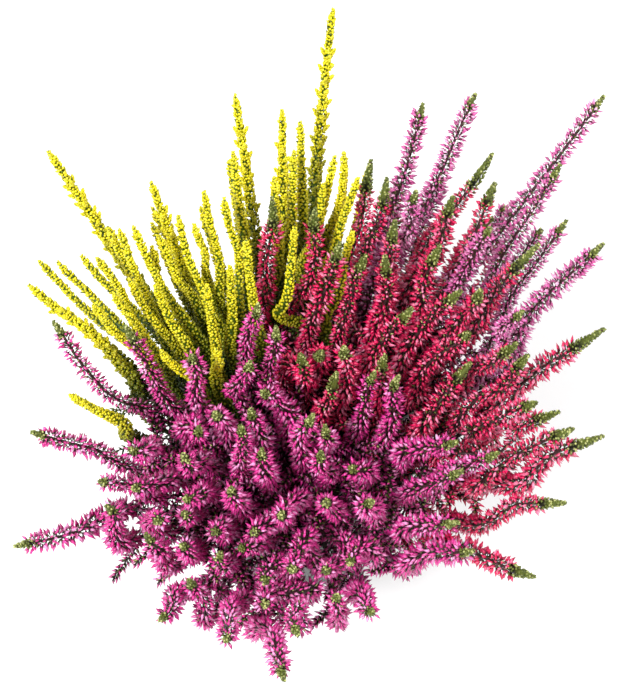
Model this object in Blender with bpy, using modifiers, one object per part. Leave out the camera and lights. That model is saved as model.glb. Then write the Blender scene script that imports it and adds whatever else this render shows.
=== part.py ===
"""Potted heather: yellow, pink, crimson and magenta heathers grown together in one plain nursery pot.

Metres, +Z up. The origin is the middle of the pot's underside, and the plant's front faces -Y.
"""
import math
from collections import namedtuple

import bmesh
import bpy
import numpy as np

# Pot: a moulded nursery pot, 105 mm across and 90 mm high
POT_HEIGHT = 0.090
POT_TOP_RADIUS = 0.0525
POT_FOOT_RADIUS = 0.0385
POT_WALL = 0.0014
POT_FLOOR = 0.0020
RIM_DEPTH = 0.0110
RIM_STEP = 0.0020
POT_SIDES = 36
DRAIN_HOLES = 5
DRAIN_RADIUS = 0.0040
DRAIN_CIRCLE = 0.0240
DRAIN_SIDES = 10

# Soil: compost that fills the pot to a finger's breadth below the rim
GAP = 0.0003
SOIL_TOP = 0.0810
HOLE_SIDES = 6
SOIL_DOME = 0.0020
HOLE_DEPTH = 0.0120
STEM_START = SOIL_TOP + SOIL_DOME + 0.0005

# Shoots: the widths and stretches that every shoot of a colour shares
STEM_RADIUS = 0.0012
FORK_RADIUS = 0.0017
ROOT_PULL = 0.38
ROOT_FORWARD = 0.018
ROOT_SPACING = 0.0074
ROOT_LIMIT = 0.0400
FORK_HEIGHT = 0.0150
CLEARANCE = 0.0007
ROOM_GAP = 0.0014
LEAST_RADIUS = 0.0008
VALLEY = 0.80
TIP_RADIUS = 0.0008
EASE_IN = 0.012
REJOIN_SHARE = 0.20
START_LEAN = 0.45
SIDE_LEAN = 0.80
START_HANDLE = 0.30
END_HANDLE = 0.40
SWELL_SHARE = 0.20
TAPER_FROM = 0.55
TAPER_TO_GREEN = 0.75
TAPER_TO_POINT = 0.45
TIP_HOLD_FROM = 0.85
TIP_HOLD = 0.60
EASE_ROUNDS = 60
EASE_STEP = 0.40
RIM_CLEAR = 0.0020
RIM_REACH = (-0.006, 0.030)
SAMPLES = 21
FINE_SAMPLES = 71

# View: the shoots were placed by eye in a frame of 631 x 700 pixels, from the front and high up
VIEW_HEIGHT_ANGLE = math.radians(64.0)
VIEW_DISTANCE = 0.900
FRAME_MIDDLE = (315.5, 350.0)
CROWN_PIXEL = (295.0, 440.0)
PIXEL_AT_CROWN = 0.000425
LEAST_LEAN = 0.35
LEAST_TURN = math.radians(26.0)
CHORD_SHARE = 0.60

# A kind of heather: its full radius, the share that is bare stem, how far apart its rings of florets
# or scales are, how many stand in a ring, and its green tip's radius and its colour
Kind = namedtuple("Kind", "radius bare ring_step ring_count green_radius colour roughness")
KINDS = {
    "yellow": Kind(0.0042, 0.16, 0.0118, 3, 0.0, (0.55, 0.52, 0.02), 0.60),
    "pink": Kind(0.0070, 0.20, 0.0137, 4, 0.0030, (0.58, 0.20, 0.36), 0.50),
    "crimson": Kind(0.0072, 0.20, 0.0137, 4, 0.0034, (0.50, 0.02, 0.07), 0.45),
    "magenta": Kind(0.0072, 0.20, 0.0137, 4, 0.0030, (0.42, 0.03, 0.21), 0.45),
}

# A shoot: the pixels of its tip and of a point low down on it, its length and its green tip's length
Shoot = namedtuple("Shoot", "tip low length green")

YELLOW_BRANCHES = (
    (Shoot((333, 9), (303, 205), 0.180, 0), Shoot((300, 122), (303, 176), 0.150, 0)),
    (Shoot((282, 110), (281, 200), 0.150, 0), Shoot((294, 151), (291, 210), 0.145, 0),
     Shoot((274, 177), (276, 235), 0.140, 0)),
    (Shoot((235, 95), (256, 205), 0.155, 0), Shoot((233, 152), (237, 210), 0.145, 0)),
    (Shoot((337, 155), (325, 240), 0.145, 0), Shoot((323, 184), (324, 230), 0.135, 0)),
    (Shoot((358, 178), (344, 213), 0.140, 0), Shoot((342, 153), (341, 200), 0.145, 0)),
    (Shoot((295, 228), (288, 256), 0.130, 0), Shoot((353, 232), (342, 259), 0.125, 0)),
    (Shoot((224, 198), (228, 280), 0.140, 0), Shoot((246, 240), (247, 309), 0.135, 0)),
    (Shoot((204, 191), (210, 263), 0.145, 0), Shoot((194, 225), (199, 256), 0.135, 0)),
    (Shoot((178, 216), (192, 285), 0.140, 0), Shoot((230, 266), (225, 302), 0.125, 0)),
    (Shoot((151, 182), (186, 293), 0.150, 0), Shoot((158, 235), (178, 320), 0.135, 0)),
    (Shoot((133, 227), (154, 278), 0.145, 0), Shoot((152, 247), (168, 310), 0.130, 0)),
    (Shoot((119, 230), (142, 293), 0.145, 0), Shoot((108, 227), (120, 262), 0.145, 0)),
    (Shoot((48, 151), (129, 269), 0.165, 0), Shoot((97, 258), (125, 297), 0.140, 0)),
    (Shoot((129, 279), (150, 335), 0.130, 0), Shoot((155, 285), (175, 349), 0.125, 0)),
    (Shoot((29, 285), (125, 370), 0.155, 0), Shoot((42, 296), (91, 334), 0.140, 0),
     Shoot((70, 395), (122, 433), 0.130, 0)),
    (Shoot((93, 305), (125, 355), 0.135, 0), Shoot((113, 294), (135, 325), 0.135, 0)),
    (Shoot((207, 285), (202, 353), 0.125, 0), Shoot((216, 349), (222, 381), 0.110, 0),
     Shoot((161, 351), (183, 392), 0.115, 0)),
)

CRIMSON_BRANCHES = (
    (Shoot((272, 198), (279, 309), 0.140, 0.016), Shoot((315, 209), (303, 290), 0.135, 0.012)),
    (Shoot((340, 243), (304, 344), 0.130, 0.010), Shoot((369, 256), (360, 300), 0.125, 0.010)),
    (Shoot((371, 160), (350, 280), 0.145, 0.016), Shoot((387, 178), (380, 240), 0.140, 0.014)),
    (Shoot((492, 154), (445, 241), 0.150, 0.018), Shoot((453, 197), (440, 240), 0.140, 0.010)),
    (Shoot((495, 183), (450, 270), 0.145, 0.010), Shoot((440, 246), (420, 280), 0.130, 0.012)),
    (Shoot((539, 244), (406, 385), 0.145, 0.018), Shoot((477, 290), (465, 310), 0.130, 0.010)),
    (Shoot((395, 221), (392, 260), 0.135, 0.012), Shoot((382, 256), (378, 290), 0.125, 0.010)),
    (Shoot((469, 331), None, 0.115, 0.004), Shoot((465, 291), (454, 309), 0.130, 0.012)),
    (Shoot((412, 308), (400, 330), 0.120, 0.010), Shoot((385, 356), (375, 380), 0.105, 0.010)),
    (Shoot((517, 343), (498, 365), 0.130, 0.014), Shoot((528, 355), (498, 388), 0.130, 0.010)),
    (Shoot((604, 329), (511, 395), 0.145, 0.018), Shoot((536, 403), (490, 420), 0.125, 0.008)),
    (Shoot((558, 412), (480, 455), 0.130, 0.014), Shoot((478, 363), (460, 380), 0.110, 0.012)),
    (Shoot((573, 429), (490, 470), 0.135, 0.012), Shoot((603, 436), (480, 497), 0.140, 0.018)),
    (Shoot((565, 503), (450, 510), 0.130, 0.014), Shoot((534, 577), (434, 555), 0.130, 0.014)),
    (Shoot((296, 353), (292, 385), 0.110, 0.008), Shoot((321, 351), (310, 380), 0.110, 0.014)),
    (Shoot((344, 347), (345, 390), 0.115, 0.008), Shoot((338, 371), (320, 400), 0.105, 0.014)),
)

PINK_BRANCHES = (
    (Shoot((423, 104), (400, 207), 0.155, 0.006), Shoot((416, 191), (405, 230), 0.140, 0.006)),
    (Shoot((475, 94), (423, 199), 0.160, 0.006), Shoot((490, 228), (480, 250), 0.140, 0.006)),
    (Shoot((604, 96), (480, 261), 0.175, 0.007), Shoot((560, 165), (524, 247), 0.155, 0.007)),
    (Shoot((566, 221), (518, 300), 0.150, 0.007), Shoot((603, 244), (505, 340), 0.155, 0.008),
     Shoot((523, 311), (510, 325), 0.135, 0.008)),
)

MAGENTA_BRANCHES = (
    (Shoot((55, 321), (139, 417), 0.135, 0.008), Shoot((125, 326), (166, 412), 0.125, 0.010)),
    (Shoot((32, 432), (139, 470), 0.130, 0.007), Shoot((130, 450), (150, 455), 0.110, 0.004)),
    (Shoot((15, 546), (118, 530), 0.130, 0.008), Shoot((106, 506), (135, 535), 0.110, 0.006)),
    (Shoot((100, 481), (125, 500), 0.115, 0.004), Shoot((133, 488), None, 0.110, 0.004)),
    (Shoot((148, 532), (180, 575), 0.105, 0.005), Shoot((182, 545), None, 0.100, 0.003),
     Shoot((155, 522), None, 0.110, 0.004)),
    (Shoot((183, 454), (204, 479), 0.115, 0.005), Shoot((185, 499), None, 0.110, 0.003),
     Shoot((179, 514), (195, 540), 0.100, 0.003)),
    (Shoot((191, 355), (205, 410), 0.120, 0.004), Shoot((199, 427), (213, 455), 0.115, 0.005),
     Shoot((215, 413), (232, 463), 0.120, 0.006)),
    (Shoot((258, 305), (248, 356), 0.130, 0.008), Shoot((250, 362), (248, 385), 0.120, 0.006)),
    (Shoot((276, 327), (276, 385), 0.125, 0.008), Shoot((262, 392), (262, 410), 0.115, 0.006)),
    (Shoot((240, 426), (245, 449), 0.115, 0.004), Shoot((251, 409), (255, 449), 0.115, 0.006),
     Shoot((262, 449), (248, 492), 0.115, 0.006)),
    (Shoot((313, 415), (280, 493), 0.120, 0.008), Shoot((324, 426), (322, 440), 0.110, 0.008),
     Shoot((321, 452), (320, 485), 0.110, 0.006)),
    (Shoot((231, 488), (235, 525), 0.112, 0.004), Shoot((214, 533), None, 0.105, 0.003),
     Shoot((221, 552), (220, 578), 0.100, 0.004)),
    (Shoot((281, 516), None, 0.115, 0.004), Shoot((253, 533), None, 0.108, 0.003),
     Shoot((239, 549), None, 0.100, 0.003)),
    (Shoot((292, 571), None, 0.112, 0.004), Shoot((265, 585), None, 0.105, 0.003),
     Shoot((268, 606), None, 0.108, 0.003)),
    (Shoot((327, 503), None, 0.108, 0.004), Shoot((349, 564), None, 0.105, 0.004),
     Shoot((326, 572), None, 0.108, 0.004)),
    (Shoot((189, 580), (200, 606), 0.105, 0.006), Shoot((160, 620), (185, 600), 0.112, 0.004)),
    (Shoot((226, 641), (222, 586), 0.128, 0.003), Shoot((284, 680), (240, 600), 0.140, 0.008),
     Shoot((298, 635), (280, 600), 0.130, 0.006)),
    (Shoot((373, 613), (353, 607), 0.112, 0.004), Shoot((337, 595), (333, 607), 0.110, 0.004)),
    (Shoot((457, 442), (347, 492), 0.125, 0.008), Shoot((399, 376), (350, 450), 0.115, 0.010),
     Shoot((375, 372), (350, 420), 0.110, 0.008)),
    (Shoot((462, 471), (399, 508), 0.120, 0.009), Shoot((498, 453), (462, 482), 0.125, 0.008),
     Shoot((350, 468), None, 0.095, 0.004)),
    (Shoot((458, 522), (360, 570), 0.120, 0.010), Shoot((474, 551), (380, 593), 0.120, 0.008),
     Shoot((373, 501), (310, 535), 0.108, 0.006)),
)

BRANCHES = {
    "yellow": YELLOW_BRANCHES,
    "pink": PINK_BRANCHES,
    "crimson": CRIMSON_BRANCHES,
    "magenta": MAGENTA_BRANCHES,
}

# Low shoots: each branch that leans to the back also has one that fills in below, out of the view
LOW_SHOOT_RISE = math.radians(33.0)
LOW_SHOOT_LENGTH = 0.100
LOW_SHOOT_FROM = 0.030

UP = np.array((0.0, 0.0, 1.0))
FRONT = np.array((0.0, -1.0, 0.0))
VIEW_RIGHT = np.array((1.0, 0.0, 0.0))
VIEW_UP = np.array((0.0, math.sin(VIEW_HEIGHT_ANGLE), math.cos(VIEW_HEIGHT_ANGLE)))
VIEW_BACK = np.array((0.0, -math.cos(VIEW_HEIGHT_ANGLE), math.sin(VIEW_HEIGHT_ANGLE)))


def unit(vector):
    return vector / np.linalg.norm(vector)


def eye_point():
    """The eye from which the middle of the soil is seen at CROWN_PIXEL."""
    across = (CROWN_PIXEL[0] - FRAME_MIDDLE[0]) * PIXEL_AT_CROWN
    down = (CROWN_PIXEL[1] - FRAME_MIDDLE[1]) * PIXEL_AT_CROWN
    return UP * SOIL_TOP + VIEW_BACK * VIEW_DISTANCE - VIEW_RIGHT * across + VIEW_UP * down


def sight(pixel):
    """The direction in which a pixel of the frame is seen from the eye."""
    focal = VIEW_DISTANCE / PIXEL_AT_CROWN
    return unit(VIEW_RIGHT * (pixel[0] - FRAME_MIDDLE[0]) - VIEW_UP * (pixel[1] - FRAME_MIDDLE[1])
                - VIEW_BACK * focal)


def tip_place(shoot, root):
    """Where the tip is: on its line of sight, and the shoot's length from the root."""
    line = sight(shoot.tip)
    eye = eye_point()
    nearest = eye + line * np.dot(root - eye, line)
    aside = np.linalg.norm(nearest - root)
    towards_eye = math.sqrt(max(shoot.length ** 2 - aside ** 2, 0.0))
    return nearest - line * max(towards_eye, LEAST_LEAN * aside)


def end_direction(shoot, root, tip):
    """The way the upper part of the shoot points: on from the pixel low down on it, never at the eye."""
    chord = tip - root
    if shoot.low is None:
        return unit(chord)
    eye = eye_point()
    line = sight(shoot.low)
    across = np.cross(line, chord)
    share = np.dot(np.cross(eye - root, line), across) / max(np.dot(across, across), 1e-12)
    share = min(max(-share, 0.30), 0.80) if np.dot(across, across) > 0 else 0.5
    depth = np.dot(root + chord * share - eye, line)
    low_point = eye + line * depth
    way = unit(unit(tip - low_point) + CHORD_SHARE * unit(chord))
    to_eye = -sight(shoot.tip)
    if np.dot(way, to_eye) > math.cos(LEAST_TURN):
        over = shoot.tip[0] - shoot.low[0], shoot.tip[1] - shoot.low[1]
        across = VIEW_RIGHT * over[0] - VIEW_UP * over[1]
        across = unit(across - to_eye * np.dot(across, to_eye))
        way = math.cos(LEAST_TURN) * to_eye + math.sin(LEAST_TURN) * across
    return way


def curve_points(start, start_way, end, end_way, count):
    """Evenly spaced points on a smooth curve that leaves and arrives in the given ways."""
    reach = np.linalg.norm(end - start)
    handle_a = start + start_way * START_HANDLE * reach
    handle_b = end - end_way * END_HANDLE * reach
    share = np.linspace(0.0, 1.0, 4 * count)[:, None]
    rest = 1.0 - share
    fine = (rest ** 3 * start + 3 * rest ** 2 * share * handle_a
            + 3 * rest * share ** 2 * handle_b + share ** 3 * end)
    return evenly(fine, count)


def evenly(points, count):
    """The same line with its points the same distance apart."""
    steps = np.linalg.norm(np.diff(points, axis=0), axis=1)
    along = np.concatenate(((0.0,), np.cumsum(steps)))
    wanted = np.linspace(0.0, along[-1], count)
    return np.stack([np.interp(wanted, along, points[:, axis]) for axis in range(3)], axis=1)


class Route:
    """One shoot of a branch: its kind, the points that it follows and its green tip's length."""

    def __init__(self, kind, branch, main, points, green):
        self.kind = kind
        self.branch = branch
        self.main = main
        self.points = points
        self.green = green

    def length(self):
        return float(np.linalg.norm(np.diff(self.points, axis=0), axis=1).sum())


def branch_roots():
    """A root for each branch: its tips pulled in, moved to the front, held in the pot and spaced out."""
    middle = UP * STEM_START
    roots = []
    for kind, branches in BRANCHES.items():
        for shoots in branches:
            root = middle
            for _ in range(4):
                tips = np.mean([tip_place(shoot, root) for shoot in shoots], axis=0)
                pulled_in = (tips - middle) * (ROOT_PULL, ROOT_PULL, 0.0)
                root = middle + pulled_in + FRONT * ROOT_FORWARD
                out = np.linalg.norm(root - middle)
                root = middle + (root - middle) * ROOT_LIMIT * math.tanh(out / ROOT_LIMIT) / out
            roots.append(root)
    roots = np.array(roots)
    for _ in range(200):
        apart = roots[:, None, :] - roots[None, :, :]
        distance = np.linalg.norm(apart, axis=2) + np.eye(len(roots))
        push = np.clip(ROOT_SPACING - distance, 0.0, None) * (1.0 - np.eye(len(roots)))
        roots += 0.4 * (apart / distance[:, :, None] * push[:, :, None]).sum(axis=1)
        out = np.linalg.norm(roots[:, :2], axis=1)
        pull = np.minimum(1.0, ROOT_LIMIT / np.maximum(out, 1e-9))
        roots[:, :2] *= pull[:, None]
    return roots


def lay_out():
    """The routes of all shoots, before they are eased apart."""
    routes = []
    roots = branch_roots()
    number = 0
    for kind, branches in BRANCHES.items():
        for index, shoots in enumerate(branches, start=1):
            root = roots[number]
            number += 1
            branch = f"{kind}_branch_{index:02d}"
            tips = [tip_place(shoot, root) for shoot in shoots]
            lean = np.mean(tips, axis=0) - root
            start_way = unit(UP + START_LEAN * unit(lean) * (1.0, 1.0, 0.0))
            main = None
            for shoot, tip in zip(shoots, tips):
                way = end_direction(shoot, root, tip)
                if main is None:
                    main = curve_points(root, start_way, tip, way, SAMPLES)
                    routes.append(Route(kind, branch, True, main, shoot.green))
                else:
                    fork = fork_point(main)
                    side_way = unit(start_way + SIDE_LEAN * unit(tip - fork))
                    line = curve_points(fork, side_way, tip, way, SAMPLES)
                    routes.append(Route(kind, branch, False, line, shoot.green))
            if lean[1] > LOW_SHOOT_FROM:
                fork = fork_point(main)
                plan = unit(lean * (1.0, 1.0, 0.0))
                way = plan * math.cos(LOW_SHOOT_RISE) + UP * math.sin(LOW_SHOOT_RISE)
                tip = fork + way * LOW_SHOOT_LENGTH
                side_way = unit(start_way + SIDE_LEAN * way)
                line = curve_points(fork, side_way, tip, unit(way + 0.5 * UP), SAMPLES)
                routes.append(Route(kind, branch, False, line, 0.5 * shoots[0].green))
    return routes


def fork_point(main):
    """The point of a main shoot at which its side shoots leave it."""
    along = np.concatenate(((0.0,), np.cumsum(np.linalg.norm(np.diff(main, axis=0), axis=1))))
    return np.array([np.interp(FORK_HEIGHT, along, main[:, axis]) for axis in range(3)])


def full_radius(route, along, length):
    """The radius that a shoot would have with nothing beside it, at a distance along it."""
    kind = KINDS[route.kind]
    flower_end = length - route.green
    early = min(max((along - kind.bare * length) / (SWELL_SHARE * length), 0.0), 1.0)
    radius = STEM_RADIUS + (kind.radius - STEM_RADIUS) * early
    taper = TAPER_TO_GREEN if route.green else TAPER_TO_POINT
    late = min(max((along - TAPER_FROM * length) / (flower_end - TAPER_FROM * length), 0.0), 1.0)
    radius *= 1.0 - (1.0 - taper) * late ** 2
    if route.green and along > flower_end:
        radius = kind.green_radius
    return max(radius, STEM_RADIUS)


def spread_apart(routes):
    """Ease the shoots of different branches apart, with their roots held and their tips nearly so."""
    points = np.array([route.points for route in routes])
    count, samples, _ = points.shape
    names = sorted({route.branch for route in routes})
    branch = np.array([names.index(route.branch) for route in routes])
    radii = np.array([full_radii(route, samples) for route in routes])
    height = points[:, :, 2] - STEM_START
    hold = np.clip(height / EASE_IN, 0.0, 1.0)
    share = np.linspace(0.0, 1.0, samples)
    near_tip = np.clip((share - TIP_HOLD_FROM) / (1.0 - TIP_HOLD_FROM), 0.0, 1.0)
    hold = hold * (1.0 - TIP_HOLD * near_tip)
    of_branch = np.repeat(branch, samples)
    of_shoot = np.repeat(np.arange(count), samples)
    wanted = radii.reshape(-1)[:, None] + radii.reshape(-1)[None, :] + CLEARANCE
    wanted[of_branch[:, None] == of_branch[None, :]] *= 0.8
    wanted[of_shoot[:, None] == of_shoot[None, :]] = 0.0
    for _ in range(EASE_ROUNDS):
        flat = points.reshape(-1, 3)
        square = (flat ** 2).sum(axis=1)
        distance = np.sqrt(np.maximum(square[:, None] + square[None, :] - 2.0 * flat @ flat.T, 1e-9))
        push = np.clip((wanted - distance) / distance, 0.0, 1.0)
        move = push.sum(axis=1)[:, None] * flat - push @ flat
        crowd = push.sum(axis=1) / np.maximum(push.max(axis=1), 1e-6)
        move /= np.sqrt(np.maximum(crowd, 1.0))[:, None]
        move = EASE_STEP * move.reshape(count, samples, 3)
        for _ in range(2):
            move[:, 1:-1] = 0.25 * move[:, :-2] + 0.5 * move[:, 1:-1] + 0.25 * move[:, 2:]
        points = points + move * hold[:, :, None]
        beyond = np.linalg.norm(points[:, :, :2], axis=2) - POT_TOP_RADIUS
        near_rim = (beyond > RIM_REACH[0]) & (beyond < RIM_REACH[1])
        lowest = POT_HEIGHT + RIM_CLEAR + radii
        points[:, :, 2] = np.where(near_rim, np.maximum(points[:, :, 2], lowest), points[:, :, 2])
    for route, line in zip(routes, points):
        if route.main:
            fork = fork_point(line)
        else:
            fade = np.clip(1.0 - share / REJOIN_SHARE, 0.0, 1.0)[:, None]
            line = line + (fork - line[0]) * fade
        route.points = evenly(line, FINE_SAMPLES)


def full_radii(route, samples):
    """The full radius at evenly spaced points of a shoot."""
    length = route.length()
    return [full_radius(route, length * j / (samples - 1), length) for j in range(samples)]


def give_room(routes):
    """Narrow each shoot where another branch is close, to its half of the way between them."""
    for route in routes:
        others = np.concatenate([other.points for other in routes if other.branch != route.branch])
        nearest = np.array([np.linalg.norm(others - point, axis=1).min() for point in route.points])
        step = KINDS[route.kind].ring_step
        reach = max(1, round(0.6 * step * (FINE_SAMPLES - 1) / route.length()))
        padded = np.pad(nearest, reach, mode="edge")
        windows = np.lib.stride_tricks.sliding_window_view(padded, 2 * reach + 1)
        half_way = 0.5 * (windows.min(axis=1) - ROOM_GAP)
        route.radii = np.maximum(np.minimum(full_radii(route, FINE_SAMPLES), half_way), LEAST_RADIUS)


def ring_places(route):
    """Distances along a shoot at which its rings lie, and whether each ring carries florets."""
    kind = KINDS[route.kind]
    length = route.length()
    flower_start = kind.bare * length
    flower_end = length - route.green
    above_fork = FORK_HEIGHT + 2.0 * FORK_RADIUS
    stems = [0.0, above_fork if route.main else 0.5 * flower_start]
    rings = max(2, round((flower_end - flower_start) / kind.ring_step))
    flowers = [flower_start + (flower_end - flower_start) * j / rings for j in range(rings + 1)]
    places = [(place, False) for place in stems] + [(place, True) for place in flowers]
    places.append((length, False))
    return places


def frame_along(points):
    """A sideways direction for each point, carried along the line without twisting."""
    ways = np.gradient(points, axis=0)
    ways /= np.linalg.norm(ways, axis=1)[:, None]
    side = unit(np.cross(ways[0], (0.0, 1.0, 0.1)))
    sides = []
    for way in ways:
        side = unit(side - way * np.dot(side, way))
        sides.append(side)
    return ways, np.array(sides)


def shoot_mesh(route):
    """A shoot as rings carried along its route, each turned so that its corners stand between the last."""
    kind = KINDS[route.kind]
    length = route.length()
    along = np.linspace(0.0, length, FINE_SAMPLES)
    ways, sides = frame_along(route.points)

    def at(values, place):
        return np.array([np.interp(place, along, values[:, axis]) for axis in range(3)])

    rings = []
    turn = 0.0
    for number, (place, floret) in enumerate(ring_places(route)):
        middle, way, side = at(route.points, place), unit(at(ways, place)), unit(at(sides, place))
        radius = float(np.interp(place, along, route.radii))
        if route.main and place <= FORK_HEIGHT + 2.0 * FORK_RADIUS:
            radius = FORK_RADIUS
        if place >= length:
            radius = TIP_RADIUS
        if route.main and place == 0.0:
            way, side = UP, unit(side * (1.0, 1.0, 0.0))
        if floret:
            turn += math.pi / kind.ring_count
        radii = np.full(kind.ring_count, radius)
        if floret and kind.ring_count == 4:
            radii[number % 2::2] *= VALLEY
        rings.append(ring_corners(radii, turn, middle, way, side))
    if route.main:
        foot = rings[0].copy()
        foot[:, 2] = SOIL_TOP - HOLE_DEPTH + GAP
        rings.insert(0, foot)

    mesh = bmesh.new()
    bmesh.ops.create_circle(mesh, cap_ends=True, segments=kind.ring_count, radius=STEM_RADIUS)
    mesh.faces.ensure_lookup_table()
    end = mesh.faces[0]
    for vertex, corner in zip(end.verts, rings[0]):
        vertex.co = corner
    new = bmesh.ops.extrude_face_region(mesh, geom=[end])["geom"]
    end = next(item for item in new if isinstance(item, bmesh.types.BMFace))
    for vertex, corner in zip(end.verts, rings[1]):
        vertex.co = corner
    for ring in rings[2:]:
        end = bmesh.ops.extrude_discrete_faces(mesh, faces=[end])["faces"][0]
        for vertex, corner in zip(end.verts, ring):
            vertex.co = corner
    bmesh.ops.recalc_face_normals(mesh, faces=mesh.faces[:])
    bmesh.ops.triangulate(mesh, faces=mesh.faces[:], quad_method="SHORT_EDGE")
    return mesh


def ring_corners(radii, turn, middle, way, side):
    """The corners of one ring, square to the shoot, each at its own distance from the middle."""
    across = np.cross(way, side)
    angles = turn + 2.0 * math.pi * np.arange(len(radii)) / len(radii)
    spokes = np.cos(angles)[:, None] * side + np.sin(angles)[:, None] * across
    return middle + radii[:, None] * spokes


def material(name, colour, roughness):
    finish = bpy.data.materials.new(name)
    finish.use_nodes = True
    shader = finish.node_tree.nodes["Principled BSDF"]
    shader.inputs["Base Color"].default_value = (*colour, 1.0)
    shader.inputs["Roughness"].default_value = roughness
    shader.inputs["Metallic"].default_value = 0.0
    return finish


def add_object(name, mesh, collection, finish):
    """Put a bmesh into the scene as a named object."""
    data = bpy.data.meshes.new(name)
    mesh.to_mesh(data)
    mesh.free()
    data.materials.append(finish)
    thing = bpy.data.objects.new(name, data)
    collection.objects.link(thing)
    return thing


def new_collection(name):
    collection = bpy.data.collections.new(name)
    bpy.context.scene.collection.children.link(collection)
    return collection


def apply_modifiers(thing):
    """Replace the object's mesh by the one that its modifiers make."""
    bpy.context.view_layer.update()
    evaluated = thing.evaluated_get(bpy.context.evaluated_depsgraph_get())
    data = bpy.data.meshes.new_from_object(evaluated)
    thing.modifiers.clear()
    thing.data = data


def is_one_body(data):
    """Whether a mesh is closed and all in one piece."""
    mesh = bmesh.new()
    mesh.from_mesh(data)
    closed = all(edge.is_manifold for edge in mesh.edges)
    mesh.verts.ensure_lookup_table()
    reached = {mesh.verts[0]}
    waiting = [mesh.verts[0]]
    while waiting:
        vertex = waiting.pop()
        for edge in vertex.link_edges:
            other = edge.other_vert(vertex)
            if other not in reached:
                reached.add(other)
                waiting.append(other)
    whole = len(reached) == len(mesh.verts)
    mesh.free()
    return closed and whole


def fuse(branch, side_shoots):
    """Join the side shoots to the branch, by the second solver where the first one fails."""
    alone = branch.data
    for solver in ("EXACT", "MANIFOLD"):
        branch.data = alone
        union = branch.modifiers.new("side shoots", "BOOLEAN")
        union.operation = "UNION"
        union.operand_type = "COLLECTION"
        union.collection = side_shoots
        union.solver = solver
        apply_modifiers(branch)
        if is_one_body(branch.data):
            return


def make_branch(name, routes, plant, shoots_collection):
    """One branch: its main shoot with the side shoots fused to it near the soil."""
    kind = KINDS[routes[0].kind]
    finish = bpy.data.materials.get(f"{routes[0].kind}_heather")
    if finish is None:
        finish = material(f"{routes[0].kind}_heather", kind.colour, kind.roughness)
    main = next(route for route in routes if route.main)
    branch = add_object(name, shoot_mesh(main), plant, finish)
    for number, route in enumerate(routes):
        if not route.main:
            add_object(f"{name}_side_{number}", shoot_mesh(route), shoots_collection, finish)
    if len(shoots_collection.objects):
        fuse(branch, shoots_collection)
    for side in list(shoots_collection.objects):
        bpy.data.objects.remove(side)
    return branch


def turned(name, profile, sides, collection, finish):
    """A shape turned about Z from the profile of its section, by a Screw modifier."""
    data = bpy.data.meshes.new(name)
    mesh = bmesh.new()
    corners = [mesh.verts.new((radius, 0.0, height)) for radius, height in profile]
    for start, end in zip(corners, corners[1:]):
        mesh.edges.new((start, end))
    mesh.to_mesh(data)
    mesh.free()
    data.materials.append(finish)
    thing = bpy.data.objects.new(name, data)
    collection.objects.link(thing)
    screw = thing.modifiers.new("turn", "SCREW")
    screw.axis = "Z"
    screw.angle = 2.0 * math.pi
    screw.steps = sides
    screw.render_steps = sides
    screw.use_merge_vertices = True
    screw.merge_threshold = 0.00005
    screw.use_normal_calculate = False
    return thing


def cylinder(name, radius, low, high, place, sides, collection):
    """A closed upright cylinder, as a cutter."""
    mesh = bmesh.new()
    bmesh.ops.create_cone(mesh, cap_ends=True, segments=sides, radius1=radius, radius2=radius,
                          depth=high - low)
    bmesh.ops.translate(mesh, verts=mesh.verts, vec=(place[0], place[1], 0.5 * (low + high)))
    data = bpy.data.meshes.new(name)
    mesh.to_mesh(data)
    mesh.free()
    cutter = bpy.data.objects.new(name, data)
    cutter.hide_render = True
    cutter.display_type = "WIRE"
    collection.objects.link(cutter)
    return cutter


def cut_with(thing, cutters):
    cut = thing.modifiers.new("holes", "BOOLEAN")
    cut.operation = "DIFFERENCE"
    cut.operand_type = "COLLECTION"
    cut.collection = cutters
    cut.solver = "EXACT"


def wall_radius(height):
    """The pot's outer radius at a height, below its rim."""
    share = height / (POT_HEIGHT - RIM_DEPTH)
    return POT_FOOT_RADIUS + (POT_TOP_RADIUS - RIM_STEP - POT_FOOT_RADIUS) * share


def make_pot(plant):
    """The pot: a tapering wall with a rim that steps out, a flat floor and drain holes."""
    cutters = new_collection("drain_cutters")
    under_rim = POT_HEIGHT - RIM_DEPTH
    profile = (
        (0.0, POT_FLOOR),
        (wall_radius(POT_FLOOR) - POT_WALL, POT_FLOOR),
        (wall_radius(under_rim + 0.0015) - POT_WALL, under_rim + 0.0015),
        (POT_TOP_RADIUS - POT_WALL, under_rim + 0.0040),
        (POT_TOP_RADIUS - POT_WALL, POT_HEIGHT - 0.0006),
        (POT_TOP_RADIUS - POT_WALL + 0.0005, POT_HEIGHT),
        (POT_TOP_RADIUS + 0.0002, POT_HEIGHT),
        (POT_TOP_RADIUS + 0.0006, POT_HEIGHT - 0.0008),
        (POT_TOP_RADIUS, under_rim + 0.0006),
        (POT_TOP_RADIUS - 0.0006, under_rim),
        (wall_radius(under_rim), under_rim),
        (wall_radius(0.003), 0.003),
        (POT_FOOT_RADIUS - 0.0015, 0.0),
        (0.0, 0.0),
    )
    pot = turned("pot", profile, POT_SIDES, plant, material("pot_plastic", (0.02, 0.02, 0.022), 0.5))
    for number in range(DRAIN_HOLES):
        turn = 2.0 * math.pi * number / DRAIN_HOLES
        place = (DRAIN_CIRCLE * math.cos(turn), DRAIN_CIRCLE * math.sin(turn))
        cylinder(f"drain_cutter_{number}", DRAIN_RADIUS, -0.002, POT_FLOOR + 0.002, place, DRAIN_SIDES,
                 cutters)
    cut_with(pot, cutters)
    return pot


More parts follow.
